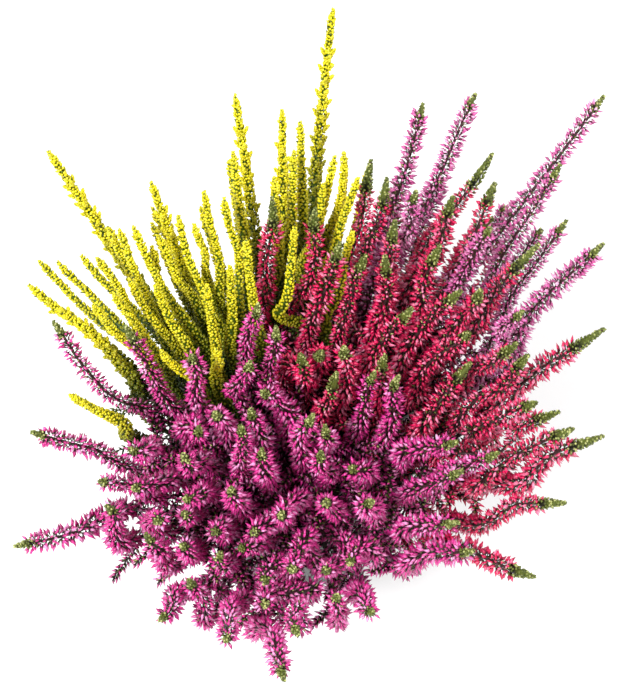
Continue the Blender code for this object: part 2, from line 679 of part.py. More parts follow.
def make_soil(plant, routes):
    """The soil: it fills the pot, is a little domed, and has a plain hole for each stem."""
    cutters = new_collection("stem_hole_cutters")
    low = POT_FLOOR + GAP
    inner = POT_WALL + GAP
    profile = (
        (0.0, SOIL_TOP + SOIL_DOME),
        (0.55 * POT_TOP_RADIUS, SOIL_TOP + 0.8 * SOIL_DOME),
        (wall_radius(SOIL_TOP - 0.003) - inner, SOIL_TOP - 0.003),
        (wall_radius(low) - inner, low),
        (0.0, low),
    )
    soil = turned("soil", profile, POT_SIDES, plant, material("compost", (0.03, 0.018, 0.01), 0.95))
    hole = (FORK_RADIUS + GAP) / math.cos(math.pi / HOLE_SIDES)
    for route in routes:
        if route.main:
            place = route.points[0]
            cylinder(f"hole_{route.branch}", hole, SOIL_TOP - HOLE_DEPTH, SOIL_TOP + 0.01, place, HOLE_SIDES,
                     cutters)
    cut_with(soil, cutters)
    return soil


def clear_scene():
    for thing in list(bpy.data.objects):
        bpy.data.objects.remove(thing)


def build():
    clear_scene()
    plant = new_collection("potted_heather")
    side_shoots = new_collection("side_shoots")
    routes = lay_out()
    spread_apart(routes)
    give_room(routes)
    make_pot(plant)
    make_soil(plant, routes)
    for name in dict.fromkeys(route.branch for route in routes):
        make_branch(name, [route for route in routes if route.branch == name], plant, side_shoots)


build()
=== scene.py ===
"""Potted heather, dressed: yellow, pink, crimson and magenta heathers grown together in one nursery pot."""
import math
from collections import namedtuple

import bmesh
import bpy
import numpy as np
from mathutils import Matrix, Vector, noise


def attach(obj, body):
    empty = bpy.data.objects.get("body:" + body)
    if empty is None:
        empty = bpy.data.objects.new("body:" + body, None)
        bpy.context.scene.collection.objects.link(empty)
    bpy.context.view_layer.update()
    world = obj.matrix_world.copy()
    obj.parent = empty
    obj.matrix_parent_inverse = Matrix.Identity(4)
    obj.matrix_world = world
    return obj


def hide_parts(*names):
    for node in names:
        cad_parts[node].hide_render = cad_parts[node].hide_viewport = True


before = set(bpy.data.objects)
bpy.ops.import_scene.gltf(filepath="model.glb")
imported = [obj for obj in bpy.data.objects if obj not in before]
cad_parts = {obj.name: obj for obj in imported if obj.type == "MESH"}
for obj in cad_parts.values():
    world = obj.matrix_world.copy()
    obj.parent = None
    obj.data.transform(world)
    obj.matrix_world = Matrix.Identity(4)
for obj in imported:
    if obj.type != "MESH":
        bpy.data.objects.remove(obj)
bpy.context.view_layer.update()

# Camera: it looks down on the plant from the front, 64 degrees above the horizon and a little under
# a metre away, as someone does who holds the pot out on a table.
VIEW_HEIGHT_ANGLE = math.radians(64.0)
VIEW_DISTANCE = 0.900
FRAME_SIZE = (631.0, 700.0)
FRAME_MIDDLE = (315.5, 350.0)
CROWN_PIXEL = (295.0, 440.0)
PIXEL_AT_CROWN = 0.000425
SOIL_TOP = 0.0810
SENSOR_HEIGHT = 24.0

UP = np.array((0.0, 0.0, 1.0))
FRONT = np.array((0.0, -1.0, 0.0))
VIEW_RIGHT = np.array((1.0, 0.0, 0.0))
VIEW_UP = np.array((0.0, math.sin(VIEW_HEIGHT_ANGLE), math.cos(VIEW_HEIGHT_ANGLE)))
VIEW_BACK = np.array((0.0, -math.cos(VIEW_HEIGHT_ANGLE), math.sin(VIEW_HEIGHT_ANGLE)))


def eye_point():
    """The eye from which the middle of the soil is seen at CROWN_PIXEL."""
    across = (CROWN_PIXEL[0] - FRAME_MIDDLE[0]) * PIXEL_AT_CROWN
    down = (CROWN_PIXEL[1] - FRAME_MIDDLE[1]) * PIXEL_AT_CROWN
    return UP * SOIL_TOP + VIEW_BACK * VIEW_DISTANCE - VIEW_RIGHT * across + VIEW_UP * down


camera_data = bpy.data.cameras.new("camera")
camera_data.sensor_fit = "VERTICAL"
camera_data.sensor_height = SENSOR_HEIGHT
camera_data.lens = VIEW_DISTANCE / PIXEL_AT_CROWN / FRAME_SIZE[1] * SENSOR_HEIGHT
camera_data.clip_start = 0.01
camera_data.clip_end = 50.0
camera = bpy.data.objects.new("camera", camera_data)
bpy.context.scene.collection.objects.link(camera)
camera.matrix_world = Matrix((VIEW_RIGHT, VIEW_UP, VIEW_BACK)).transposed().to_4x4()
camera.location = Vector(eye_point())
bpy.context.scene.camera = camera

# Floor and light: a pale studio floor, a wide soft light above and to the left, a weaker one on the
# right, and an even white sky that keeps the shadow on the floor faint.
FLOOR_REACH = 8.0
SKY_COLOUR = (1.0, 1.0, 1.0, 1.0)
SKY_STRENGTH = 0.50
Lamp = namedtuple("Lamp", "name place size power")
LAMPS = (
    Lamp("key_light", (-0.60, -0.75, 1.60), 0.45, 36.0),
    Lamp("fill_light", (0.95, -0.20, 1.20), 0.80, 8.0),
    Lamp("back_light", (0.10, 1.20, 1.10), 0.80, 9.0),
)


def paint(red, green, blue):
    """A colour as a shader takes it, from the numbers 0 to 255 of a colour chart."""
    shares = [value / 255.0 for value in (red, green, blue)]
    linear = [s / 12.92 if s <= 0.04045 else ((s + 0.055) / 1.055) ** 2.4 for s in shares]
    return (*linear, 1.0)


def new_material(name, roughness):
    """A material with its nodes, its links and its shader."""
    finish = bpy.data.materials.new(name)
    finish.use_nodes = True
    shader = finish.node_tree.nodes["Principled BSDF"]
    shader.inputs["Roughness"].default_value = roughness
    return finish, finish.node_tree.nodes, finish.node_tree.links, shader


def add_piece(name, mesh, finishes):
    """A bmesh as an object of the scene, at the origin, with smooth faces."""
    data = bpy.data.meshes.new(name)
    for face in mesh.faces:
        face.smooth = True
    mesh.to_mesh(data)
    mesh.free()
    for finish in finishes:
        data.materials.append(finish)
    piece = bpy.data.objects.new(name, data)
    bpy.context.scene.collection.objects.link(piece)
    return piece


mesh = bmesh.new()
bmesh.ops.create_grid(mesh, x_segments=1, y_segments=1, size=FLOOR_REACH)
floor_finish, nodes, links, shader = new_material("pale_floor", 0.75)
shader.inputs["Base Color"].default_value = paint(246, 246, 246)
shader.inputs["Emission Color"].default_value = paint(255, 255, 255)
shader.inputs["Emission Strength"].default_value = 0.12
floor = add_piece("floor", mesh, [floor_finish])

world = bpy.data.worlds.new("soft_sky")
world.use_nodes = True
sky = world.node_tree.nodes["Background"]
sky.inputs["Color"].default_value = SKY_COLOUR
seen = world.node_tree.nodes.new("ShaderNodeLightPath")
brightness = world.node_tree.nodes.new("ShaderNodeMapRange")
brightness.inputs["To Min"].default_value = SKY_STRENGTH
world.node_tree.links.new(seen.outputs["Is Camera Ray"], brightness.inputs["Value"])
world.node_tree.links.new(brightness.outputs["Result"], sky.inputs["Strength"])
bpy.context.scene.world = world
bpy.context.scene.view_settings.view_transform = "Standard"

for lamp in LAMPS:
    light = bpy.data.lights.new(lamp.name, "AREA")
    light.size = lamp.size
    light.energy = lamp.power
    stand = bpy.data.objects.new(lamp.name, light)
    stand.location = lamp.place
    towards = Vector((0.0, 0.0, 0.15)) - Vector(lamp.place)
    stand.rotation_euler = towards.to_track_quat("-Z", "Y").to_euler()
    bpy.context.scene.collection.objects.link(stand)

# Pot: a plain moulded nursery pot of thin black polypropylene. The wall tapers, the rim steps out and
# is rolled over, and the flat floor has five round drain holes. It is dull, with a little dust.
POT_HEIGHT = 0.090
POT_TOP_RADIUS = 0.0525
POT_FOOT_RADIUS = 0.0385
POT_WALL = 0.0014
POT_FLOOR = 0.0020
RIM_DEPTH = 0.0110
RIM_STEP = 0.0020
POT_SIDES = 96
ROUND_EDGE = 0.0004
DRAIN_HOLES = 5
DRAIN_RADIUS = 0.0040
DRAIN_CIRCLE = 0.0240
DRAIN_SIDES = 24
POT_BLACK = paint(40, 40, 42)
POT_DUST = paint(118, 104, 88)


def turned(profile, sides):
    """A closed shape turned about Z from the profile of its half section."""
    mesh = bmesh.new()
    corners = [mesh.verts.new((radius, 0.0, height)) for radius, height in profile]
    edges = [mesh.edges.new(pair) for pair in zip(corners, corners[1:])]
    bmesh.ops.spin(mesh, geom=corners + edges, cent=(0, 0, 0), axis=(0, 0, 1), dvec=(0, 0, 0),
                   angle=2.0 * math.pi, steps=sides, use_merge=True, use_duplicate=False)
    bmesh.ops.remove_doubles(mesh, verts=mesh.verts[:], dist=1e-6)
    bmesh.ops.recalc_face_normals(mesh, faces=mesh.faces[:])
    return mesh


def wall_radius(height):
    """The pot's outer radius at a height, below its rim."""
    share = height / (POT_HEIGHT - RIM_DEPTH)
    return POT_FOOT_RADIUS + (POT_TOP_RADIUS - RIM_STEP - POT_FOOT_RADIUS) * share


def cut_by(piece, cutters):
    """Cut the cutters out of a piece, and leave the cut in its mesh."""
    for cutter in cutters:
        cut = piece.modifiers.new("cut", "BOOLEAN")
        cut.operation = "DIFFERENCE"
        cut.object = cutter
        cut.solver = "EXACT"
    bpy.context.view_layer.update()
    shaped = piece.evaluated_get(bpy.context.evaluated_depsgraph_get())
    data = bpy.data.meshes.new_from_object(shaped)
    piece.modifiers.clear()
    piece.data = data
    for cutter in cutters:
        bpy.data.objects.remove(cutter)


under_rim = POT_HEIGHT - RIM_DEPTH
pot_profile = (
    (0.0, POT_FLOOR),
    (wall_radius(POT_FLOOR) - POT_WALL, POT_FLOOR),
    (wall_radius(under_rim + 0.0015) - POT_WALL, under_rim + 0.0015),
    (POT_TOP_RADIUS - POT_WALL, under_rim + 0.0040),
    (POT_TOP_RADIUS - POT_WALL, POT_HEIGHT - 0.0006),
    (POT_TOP_RADIUS - POT_WALL + 0.0005, POT_HEIGHT),
    (POT_TOP_RADIUS + 0.0002, POT_HEIGHT),
    (POT_TOP_RADIUS + 0.0006, POT_HEIGHT - 0.0008),
    (POT_TOP_RADIUS, under_rim + 0.0006),
    (POT_TOP_RADIUS - 0.0006, under_rim),
    (wall_radius(under_rim), under_rim),
    (wall_radius(0.003), 0.003),
    (POT_FOOT_RADIUS - 0.0015, 0.0),
    (0.0, 0.0),
)
mesh = turned(pot_profile, POT_SIDES)
sharp = [edge for edge in mesh.edges if edge.calc_face_angle(0.0) > math.radians(25.0)]
bmesh.ops.bevel(mesh, geom=sharp, offset=ROUND_EDGE, offset_type="OFFSET", affect="EDGES", segments=3,
                profile=0.5, material=-1, clamp_overlap=True)

# The plastic is near black and satin. Dust lies near the foot, where the pot has stood.
pot_finish, nodes, links, shader = new_material("pot_plastic", 0.45)
place = nodes.new("ShaderNodeTexCoord")
scuffs = nodes.new("ShaderNodeTexNoise")
scuffs.inputs["Scale"].default_value = 90.0
scuffs.inputs["Detail"].default_value = 6.0
scuffs.inputs["Roughness"].default_value = 0.7
links.new(place.outputs["Object"], scuffs.inputs["Vector"])
height = nodes.new("ShaderNodeSeparateXYZ")
links.new(place.outputs["Object"], height.inputs["Vector"])
low_dust = nodes.new("ShaderNodeMapRange")
low_dust.inputs["From Min"].default_value = 0.020
low_dust.inputs["From Max"].default_value = 0.0
low_dust.inputs["To Max"].default_value = 0.55
links.new(height.outputs["Z"], low_dust.inputs["Value"])
specks = nodes.new("ShaderNodeMapRange")
specks.inputs["From Min"].default_value = 0.46
specks.inputs["From Max"].default_value = 0.74
links.new(scuffs.outputs["Fac"], specks.inputs["Value"])
dust = nodes.new("ShaderNodeMath")
dust.operation = "MULTIPLY_ADD"
dust.use_clamp = True
links.new(specks.outputs["Result"], dust.inputs[0])
links.new(low_dust.outputs["Result"], dust.inputs[1])
dust.inputs[2].default_value = 0.0
dusty = nodes.new("ShaderNodeMix")
dusty.data_type = "RGBA"
dusty.inputs["A"].default_value = POT_BLACK
dusty.inputs["B"].default_value = POT_DUST
links.new(dust.outputs["Value"], dusty.inputs["Factor"])
links.new(dusty.outputs["Result"], shader.inputs["Base Color"])
dull = nodes.new("ShaderNodeMapRange")
dull.inputs["To Min"].default_value = 0.38
dull.inputs["To Max"].default_value = 0.62
links.new(scuffs.outputs["Fac"], dull.inputs["Value"])
links.new(dull.outputs["Result"], shader.inputs["Roughness"])
moulding = nodes.new("ShaderNodeBump")
moulding.inputs["Strength"].default_value = 0.25
moulding.inputs["Distance"].default_value = 0.0002
links.new(scuffs.outputs["Fac"], moulding.inputs["Height"])
links.new(moulding.outputs["Normal"], shader.inputs["Normal"])

pot = add_piece("pot_body", mesh, [pot_finish])
drains = []
for number in range(DRAIN_HOLES):
    turn = 2.0 * math.pi * number / DRAIN_HOLES
    mesh = bmesh.new()
    bmesh.ops.create_cone(mesh, cap_ends=True, segments=DRAIN_SIDES, radius1=DRAIN_RADIUS,
                          radius2=DRAIN_RADIUS, depth=4.0 * POT_FLOOR)
    bmesh.ops.translate(mesh, verts=mesh.verts[:],
                        vec=(DRAIN_CIRCLE * math.cos(turn), DRAIN_CIRCLE * math.sin(turn), 0.0))
    drains.append(add_piece(f"drain_{number}", mesh, [pot_finish]))
cut_by(pot, drains)
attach(pot, "root")
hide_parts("pot")

# Compost: dark peat with coarser crumbs, pressed into the pot to a finger's breadth below its rim.
# It is low at the wall and a little domed where the stems stand.
GAP = 0.0003
SOIL_DOME = 0.0020
SOIL_RINGS = 26
SOIL_ROUGHNESS = 0.0011
CRUMBS = 700
CRUMB_SIZES = (0.0006, 0.0019)
PEAT_DARK = paint(30, 20, 14)
PEAT_BROWN = paint(86, 60, 40)
PEAT_FLECK = paint(150, 128, 98)

rng = np.random.default_rng(7)
low = POT_FLOOR + GAP
inner = POT_WALL + GAP
edge_height = SOIL_TOP - 0.003
edge_radius = wall_radius(edge_height) - inner
top_profile = []
for number in range(SOIL_RINGS):
    share = number / (SOIL_RINGS - 1)
    top_profile.append((edge_radius * share, SOIL_TOP + SOIL_DOME - (SOIL_DOME + 0.003) * share ** 2))
mesh = turned((*top_profile, (wall_radius(low) - inner, low), (0.0, low)), POT_SIDES)
for vertex in mesh.verts:
    out = math.hypot(vertex.co.x, vertex.co.y)
    if vertex.co.z > edge_height and out < edge_radius - 0.0005:
        lump = noise.fractal(vertex.co * 260.0, 0.8, 2.1, 4)
        vertex.co.z += SOIL_ROUGHNESS * min(max(lump, -1.0), 0.35)


def soil_height(out):
    """The height of the smooth soil at a distance from the middle."""
    return SOIL_TOP + SOIL_DOME - (SOIL_DOME + 0.003) * (out / edge_radius) ** 2


for _ in range(CRUMBS):
    out = (edge_radius - 0.0015) * math.sqrt(rng.uniform())
    turn = rng.uniform(0.0, 2.0 * math.pi)
    size = rng.uniform(*CRUMB_SIZES)
    spot = Matrix.Translation((out * math.cos(turn), out * math.sin(turn), soil_height(out) - 0.3 * size))
    squeeze = Matrix.Diagonal((*(size * rng.uniform(0.35, 0.6, 3)), 1.0))
    roll = Matrix.Rotation(rng.uniform(0.0, 6.3), 4, Vector(rng.normal(size=3)))
    bmesh.ops.create_icosphere(mesh, subdivisions=1, radius=1.0, matrix=spot @ roll @ squeeze)

soil_finish, nodes, links, shader = new_material("compost", 0.95)
place = nodes.new("ShaderNodeTexCoord")
clods = nodes.new("ShaderNodeTexNoise")
clods.inputs["Scale"].default_value = 420.0
clods.inputs["Detail"].default_value = 8.0
clods.inputs["Roughness"].default_value = 0.7
links.new(place.outputs["Object"], clods.inputs["Vector"])
peat = nodes.new("ShaderNodeValToRGB")
peat.color_ramp.elements[0].position = 0.38
peat.color_ramp.elements[0].color = PEAT_DARK
peat.color_ramp.elements[1].position = 0.72
peat.color_ramp.elements[1].color = PEAT_BROWN
fleck = peat.color_ramp.elements.new(0.80)
fleck.color = PEAT_FLECK
links.new(clods.outputs["Fac"], peat.inputs["Fac"])
links.new(peat.outputs["Color"], shader.inputs["Base Color"])
grit = nodes.new("ShaderNodeBump")
grit.inputs["Strength"].default_value = 0.8
grit.inputs["Distance"].default_value = 0.0006
links.new(clods.outputs["Fac"], grit.inputs["Height"])
links.new(grit.outputs["Normal"], shader.inputs["Normal"])
soil = add_piece("compost", mesh, [soil_finish])
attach(soil, "root")
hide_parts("soil")

# Shoots: every branch is rooted in the soil and forks just above it into two or three long shoots, and
# branches that lean back have a low one as well. Each shoot is given by the pixels where its tip and a
# lower point are seen, and by its length. Then shoots of different branches are eased apart.
HOLE_DEPTH = 0.0120
STEM_START = SOIL_TOP + SOIL_DOME + 0.0005
STEM_RADIUS = 0.0012
ROOT_PULL = 0.38
ROOT_FORWARD = 0.018
ROOT_SPACING = 0.0074
ROOT_LIMIT = 0.0400
FORK_HEIGHT = 0.0150
CLEARANCE = 0.0007
ROOM_GAP = 0.0014
LEAST_RADIUS = 0.0008
EASE_IN = 0.012
REJOIN_SHARE = 0.20
START_LEAN = 0.45
SIDE_LEAN = 0.80
START_HANDLE = 0.30
END_HANDLE = 0.40
SWELL_SHARE = 0.20
TAPER_FROM = 0.55
TAPER_TO_GREEN = 0.75
TAPER_TO_POINT = 0.45
TIP_HOLD_FROM = 0.85
TIP_HOLD = 0.60
EASE_ROUNDS = 60
EASE_STEP = 0.40
RIM_CLEAR = 0.0020
RIM_REACH = (-0.006, 0.030)
SAMPLES = 21
FINE_SAMPLES = 71
LEAST_LEAN = 0.35
LEAST_TURN = math.radians(26.0)
CHORD_SHARE = 0.60

# A kind of heather: its full radius, the share that is bare stem, how far apart the rings of its solid
# are, and its green tip's radius
Kind = namedtuple("Kind", "radius bare ring_step green_radius")
KINDS = {
    "yellow": Kind(0.0042, 0.16, 0.0118, 0.0),
    "pink": Kind(0.0070, 0.20, 0.0137, 0.0030),
    "crimson": Kind(0.0072, 0.20, 0.0137, 0.0034),
    "magenta": Kind(0.0072, 0.20, 0.0137, 0.0030),
}

# A shoot: the pixels of its tip and of a point low down on it, its length and its green tip's length
Shoot = namedtuple("Shoot", "tip low length green")

YELLOW_BRANCHES = (
    (Shoot((333, 9), (303, 205), 0.180, 0), Shoot((300, 122), (303, 176), 0.150, 0)),
    (Shoot((282, 110), (281, 200), 0.150, 0), Shoot((294, 151), (291, 210), 0.145, 0),
     Shoot((274, 177), (276, 235), 0.140, 0)),
    (Shoot((235, 95), (256, 205), 0.155, 0), Shoot((233, 152), (237, 210), 0.145, 0)),
    (Shoot((337, 155), (325, 240), 0.145, 0), Shoot((323, 184), (324, 230), 0.135, 0)),
    (Shoot((358, 178), (344, 213), 0.140, 0), Shoot((342, 153), (341, 200), 0.145, 0)),
    (Shoot((295, 228), (288, 256), 0.130, 0), Shoot((353, 232), (342, 259), 0.125, 0)),
    (Shoot((224, 198), (228, 280), 0.140, 0), Shoot((246, 240), (247, 309), 0.135, 0)),
    (Shoot((204, 191), (210, 263), 0.145, 0), Shoot((194, 225), (199, 256), 0.135, 0)),
    (Shoot((178, 216), (192, 285), 0.140, 0), Shoot((230, 266), (225, 302), 0.125, 0)),
    (Shoot((151, 182), (186, 293), 0.150, 0), Shoot((158, 235), (178, 320), 0.135, 0)),
    (Shoot((133, 227), (154, 278), 0.145, 0), Shoot((152, 247), (168, 310), 0.130, 0)),
    (Shoot((119, 230), (142, 293), 0.145, 0), Shoot((108, 227), (120, 262), 0.145, 0)),
    (Shoot((48, 151), (129, 269), 0.165, 0), Shoot((97, 258), (125, 297), 0.140, 0)),
    (Shoot((129, 279), (150, 335), 0.130, 0), Shoot((155, 285), (175, 349), 0.125, 0)),
    (Shoot((29, 285), (125, 370), 0.155, 0), Shoot((42, 296), (91, 334), 0.140, 0),
     Shoot((70, 395), (122, 433), 0.130, 0)),
    (Shoot((93, 305), (125, 355), 0.135, 0), Shoot((113, 294), (135, 325), 0.135, 0)),
    (Shoot((207, 285), (202, 353), 0.125, 0), Shoot((216, 349), (222, 381), 0.110, 0),
     Shoot((161, 351), (183, 392), 0.115, 0)),
)

CRIMSON_BRANCHES = (
    (Shoot((272, 198), (279, 309), 0.140, 0.016), Shoot((315, 209), (303, 290), 0.135, 0.012)),
    (Shoot((340, 243), (304, 344), 0.130, 0.010), Shoot((369, 256), (360, 300), 0.125, 0.010)),
    (Shoot((371, 160), (350, 280), 0.145, 0.016), Shoot((387, 178), (380, 240), 0.140, 0.014)),
    (Shoot((492, 154), (445, 241), 0.150, 0.018), Shoot((453, 197), (440, 240), 0.140, 0.010)),
    (Shoot((495, 183), (450, 270), 0.145, 0.010), Shoot((440, 246), (420, 280), 0.130, 0.012)),
    (Shoot((539, 244), (406, 385), 0.145, 0.018), Shoot((477, 290), (465, 310), 0.130, 0.010)),
    (Shoot((395, 221), (392, 260), 0.135, 0.012), Shoot((382, 256), (378, 290), 0.125, 0.010)),
    (Shoot((469, 331), None, 0.115, 0.004), Shoot((465, 291), (454, 309), 0.130, 0.012)),
    (Shoot((412, 308), (400, 330), 0.120, 0.010), Shoot((385, 356), (375, 380), 0.105, 0.010)),
    (Shoot((517, 343), (498, 365), 0.130, 0.014), Shoot((528, 355), (498, 388), 0.130, 0.010)),
    (Shoot((604, 329), (511, 395), 0.145, 0.018), Shoot((536, 403), (490, 420), 0.125, 0.008)),
    (Shoot((558, 412), (480, 455), 0.130, 0.014), Shoot((478, 363), (460, 380), 0.110, 0.012)),
    (Shoot((573, 429), (490, 470), 0.135, 0.012), Shoot((603, 436), (480, 497), 0.140, 0.018)),
    (Shoot((565, 503), (450, 510), 0.130, 0.014), Shoot((534, 577), (434, 555), 0.130, 0.014)),
    (Shoot((296, 353), (292, 385), 0.110, 0.008), Shoot((321, 351), (310, 380), 0.110, 0.014)),
    (Shoot((344, 347), (345, 390), 0.115, 0.008), Shoot((338, 371), (320, 400), 0.105, 0.014)),
)

PINK_BRANCHES = (
    (Shoot((423, 104), (400, 207), 0.155, 0.006), Shoot((416, 191), (405, 230), 0.140, 0.006)),
    (Shoot((475, 94), (423, 199), 0.160, 0.006), Shoot((490, 228), (480, 250), 0.140, 0.006)),
    (Shoot((604, 96), (480, 261), 0.175, 0.007), Shoot((560, 165), (524, 247), 0.155, 0.007)),
    (Shoot((566, 221), (518, 300), 0.150, 0.007), Shoot((603, 244), (505, 340), 0.155, 0.008),
     Shoot((523, 311), (510, 325), 0.135, 0.008)),
)

MAGENTA_BRANCHES = (
    (Shoot((55, 321), (139, 417), 0.135, 0.008), Shoot((125, 326), (166, 412), 0.125, 0.010)),
    (Shoot((32, 432), (139, 470), 0.130, 0.007), Shoot((130, 450), (150, 455), 0.110, 0.004)),
    (Shoot((15, 546), (118, 530), 0.130, 0.008), Shoot((106, 506), (135, 535), 0.110, 0.006)),
    (Shoot((100, 481), (125, 500), 0.115, 0.004), Shoot((133, 488), None, 0.110, 0.004)),
    (Shoot((148, 532), (180, 575), 0.105, 0.005), Shoot((182, 545), None, 0.100, 0.003),
     Shoot((155, 522), None, 0.110, 0.004)),
    (Shoot((183, 454), (204, 479), 0.115, 0.005), Shoot((185, 499), None, 0.110, 0.003),
     Shoot((179, 514), (195, 540), 0.100, 0.003)),
    (Shoot((191, 355), (205, 410), 0.120, 0.004), Shoot((199, 427), (213, 455), 0.115, 0.005),
     Shoot((215, 413), (232, 463), 0.120, 0.006)),
    (Shoot((258, 305), (248, 356), 0.130, 0.008), Shoot((250, 362), (248, 385), 0.120, 0.006)),
    (Shoot((276, 327), (276, 385), 0.125, 0.008), Shoot((262, 392), (262, 410), 0.115, 0.006)),
    (Shoot((240, 426), (245, 449), 0.115, 0.004), Shoot((251, 409), (255, 449), 0.115, 0.006),
     Shoot((262, 449), (248, 492), 0.115, 0.006)),
    (Shoot((313, 415), (280, 493), 0.120, 0.008), Shoot((324, 426), (322, 440), 0.110, 0.008),
     Shoot((321, 452), (320, 485), 0.110, 0.006)),
    (Shoot((231, 488), (235, 525), 0.112, 0.004), Shoot((214, 533), None, 0.105, 0.003),
     Shoot((221, 552), (220, 578), 0.100, 0.004)),
    (Shoot((281, 516), None, 0.115, 0.004), Shoot((253, 533), None, 0.108, 0.003),
     Shoot((239, 549), None, 0.100, 0.003)),
    (Shoot((292, 571), None, 0.112, 0.004), Shoot((265, 585), None, 0.105, 0.003),
     Shoot((268, 606), None, 0.108, 0.003)),
    (Shoot((327, 503), None, 0.108, 0.004), Shoot((349, 564), None, 0.105, 0.004),
     Shoot((326, 572), None, 0.108, 0.004)),
    (Shoot((189, 580), (200, 606), 0.105, 0.006), Shoot((160, 620), (185, 600), 0.112, 0.004)),
    (Shoot((226, 641), (222, 586), 0.128, 0.003), Shoot((284, 680), (240, 600), 0.140, 0.008),
     Shoot((298, 635), (280, 600), 0.130, 0.006)),
    (Shoot((373, 613), (353, 607), 0.112, 0.004), Shoot((337, 595), (333, 607), 0.110, 0.004)),
    (Shoot((457, 442), (347, 492), 0.125, 0.008), Shoot((399, 376), (350, 450), 0.115, 0.010),
     Shoot((375, 372), (350, 420), 0.110, 0.008)),
    (Shoot((462, 471), (399, 508), 0.120, 0.009), Shoot((498, 453), (462, 482), 0.125, 0.008),
     Shoot((350, 468), None, 0.095, 0.004)),
    (Shoot((458, 522), (360, 570), 0.120, 0.010), Shoot((474, 551), (380, 593), 0.120, 0.008),
     Shoot((373, 501), (310, 535), 0.108, 0.006)),
)

BRANCHES = {
    "yellow": YELLOW_BRANCHES,
    "pink": PINK_BRANCHES,
    "crimson": CRIMSON_BRANCHES,
    "magenta": MAGENTA_BRANCHES,
}

# Low shoots: each branch that leans to the back also has one that fills in below, out of the view
LOW_SHOOT_RISE = math.radians(33.0)
LOW_SHOOT_LENGTH = 0.100
LOW_SHOOT_FROM = 0.030


def unit(vector):
    return vector / np.linalg.norm(vector)


def sight(pixel):
    """The direction in which a pixel of the frame is seen from the eye."""
    focal = VIEW_DISTANCE / PIXEL_AT_CROWN
    return unit(VIEW_RIGHT * (pixel[0] - FRAME_MIDDLE[0]) - VIEW_UP * (pixel[1] - FRAME_MIDDLE[1])
                - VIEW_BACK * focal)


def tip_place(shoot, root):
    """Where the tip is: on its line of sight, and the shoot's length from the root."""
    line = sight(shoot.tip)
    eye = eye_point()
    nearest = eye + line * np.dot(root - eye, line)
    aside = np.linalg.norm(nearest - root)
    towards_eye = math.sqrt(max(shoot.length ** 2 - aside ** 2, 0.0))
    return nearest - line * max(towards_eye, LEAST_LEAN * aside)


def end_direction(shoot, root, tip):
    """The way the upper part of the shoot points: on from the pixel low down on it, never at the eye."""
    chord = tip - root
    if shoot.low is None:
        return unit(chord)
    eye = eye_point()
    line = sight(shoot.low)
    across = np.cross(line, chord)
    share = np.dot(np.cross(eye - root, line), across) / max(np.dot(across, across), 1e-12)
    share = min(max(-share, 0.30), 0.80) if np.dot(across, across) > 0 else 0.5
    depth = np.dot(root + chord * share - eye, line)
    low_point = eye + line * depth
    way = unit(unit(tip - low_point) + CHORD_SHARE * unit(chord))
    to_eye = -sight(shoot.tip)
    if np.dot(way, to_eye) > math.cos(LEAST_TURN):
        over = shoot.tip[0] - shoot.low[0], shoot.tip[1] - shoot.low[1]
        across = VIEW_RIGHT * over[0] - VIEW_UP * over[1]
        across = unit(across - to_eye * np.dot(across, to_eye))
        way = math.cos(LEAST_TURN) * to_eye + math.sin(LEAST_TURN) * across
    return way


def curve_points(start, start_way, end, end_way, count):
    """Evenly spaced points on a smooth curve that leaves and arrives in the given ways."""
    reach = np.linalg.norm(end - start)
    handle_a = start + start_way * START_HANDLE * reach
    handle_b = end - end_way * END_HANDLE * reach
    share = np.linspace(0.0, 1.0, 4 * count)[:, None]
    rest = 1.0 - share
    fine = (rest ** 3 * start + 3 * rest ** 2 * share * handle_a
            + 3 * rest * share ** 2 * handle_b + share ** 3 * end)
    return evenly(fine, count)


def evenly(points, count):
    """The same line with its points the same distance apart."""
    steps = np.linalg.norm(np.diff(points, axis=0), axis=1)
    along = np.concatenate(((0.0,), np.cumsum(steps)))
    wanted = np.linspace(0.0, along[-1], count)
    return np.stack([np.interp(wanted, along, points[:, axis]) for axis in range(3)], axis=1)


class Route:
    """One shoot of a branch: its kind, the points that it follows and its green tip's length."""

    def __init__(self, kind, branch, main, points, green):
        self.kind = kind
        self.branch = branch
        self.main = main
        self.points = points
        self.green = green

    def length(self):
        return float(np.linalg.norm(np.diff(self.points, axis=0), axis=1).sum())


def branch_roots():
    """A root for each branch: its tips pulled in, moved to the front, held in the pot and spaced out."""
    middle = UP * STEM_START
    roots = []
    for kind, branches in BRANCHES.items():
        for shoots in branches:
            root = middle
            for _ in range(4):
                tips = np.mean([tip_place(shoot, root) for shoot in shoots], axis=0)
                pulled_in = (tips - middle) * (ROOT_PULL, ROOT_PULL, 0.0)
                root = middle + pulled_in + FRONT * ROOT_FORWARD
                out = np.linalg.norm(root - middle)
                root = middle + (root - middle) * ROOT_LIMIT * math.tanh(out / ROOT_LIMIT) / out
            roots.append(root)
    roots = np.array(roots)
    for _ in range(200):
        apart = roots[:, None, :] - roots[None, :, :]
        distance = np.linalg.norm(apart, axis=2) + np.eye(len(roots))
        push = np.clip(ROOT_SPACING - distance, 0.0, None) * (1.0 - np.eye(len(roots)))
        roots += 0.4 * (apart / distance[:, :, None] * push[:, :, None]).sum(axis=1)
        out = np.linalg.norm(roots[:, :2], axis=1)
        pull = np.minimum(1.0, ROOT_LIMIT / np.maximum(out, 1e-9))
        roots[:, :2] *= pull[:, None]
    return roots


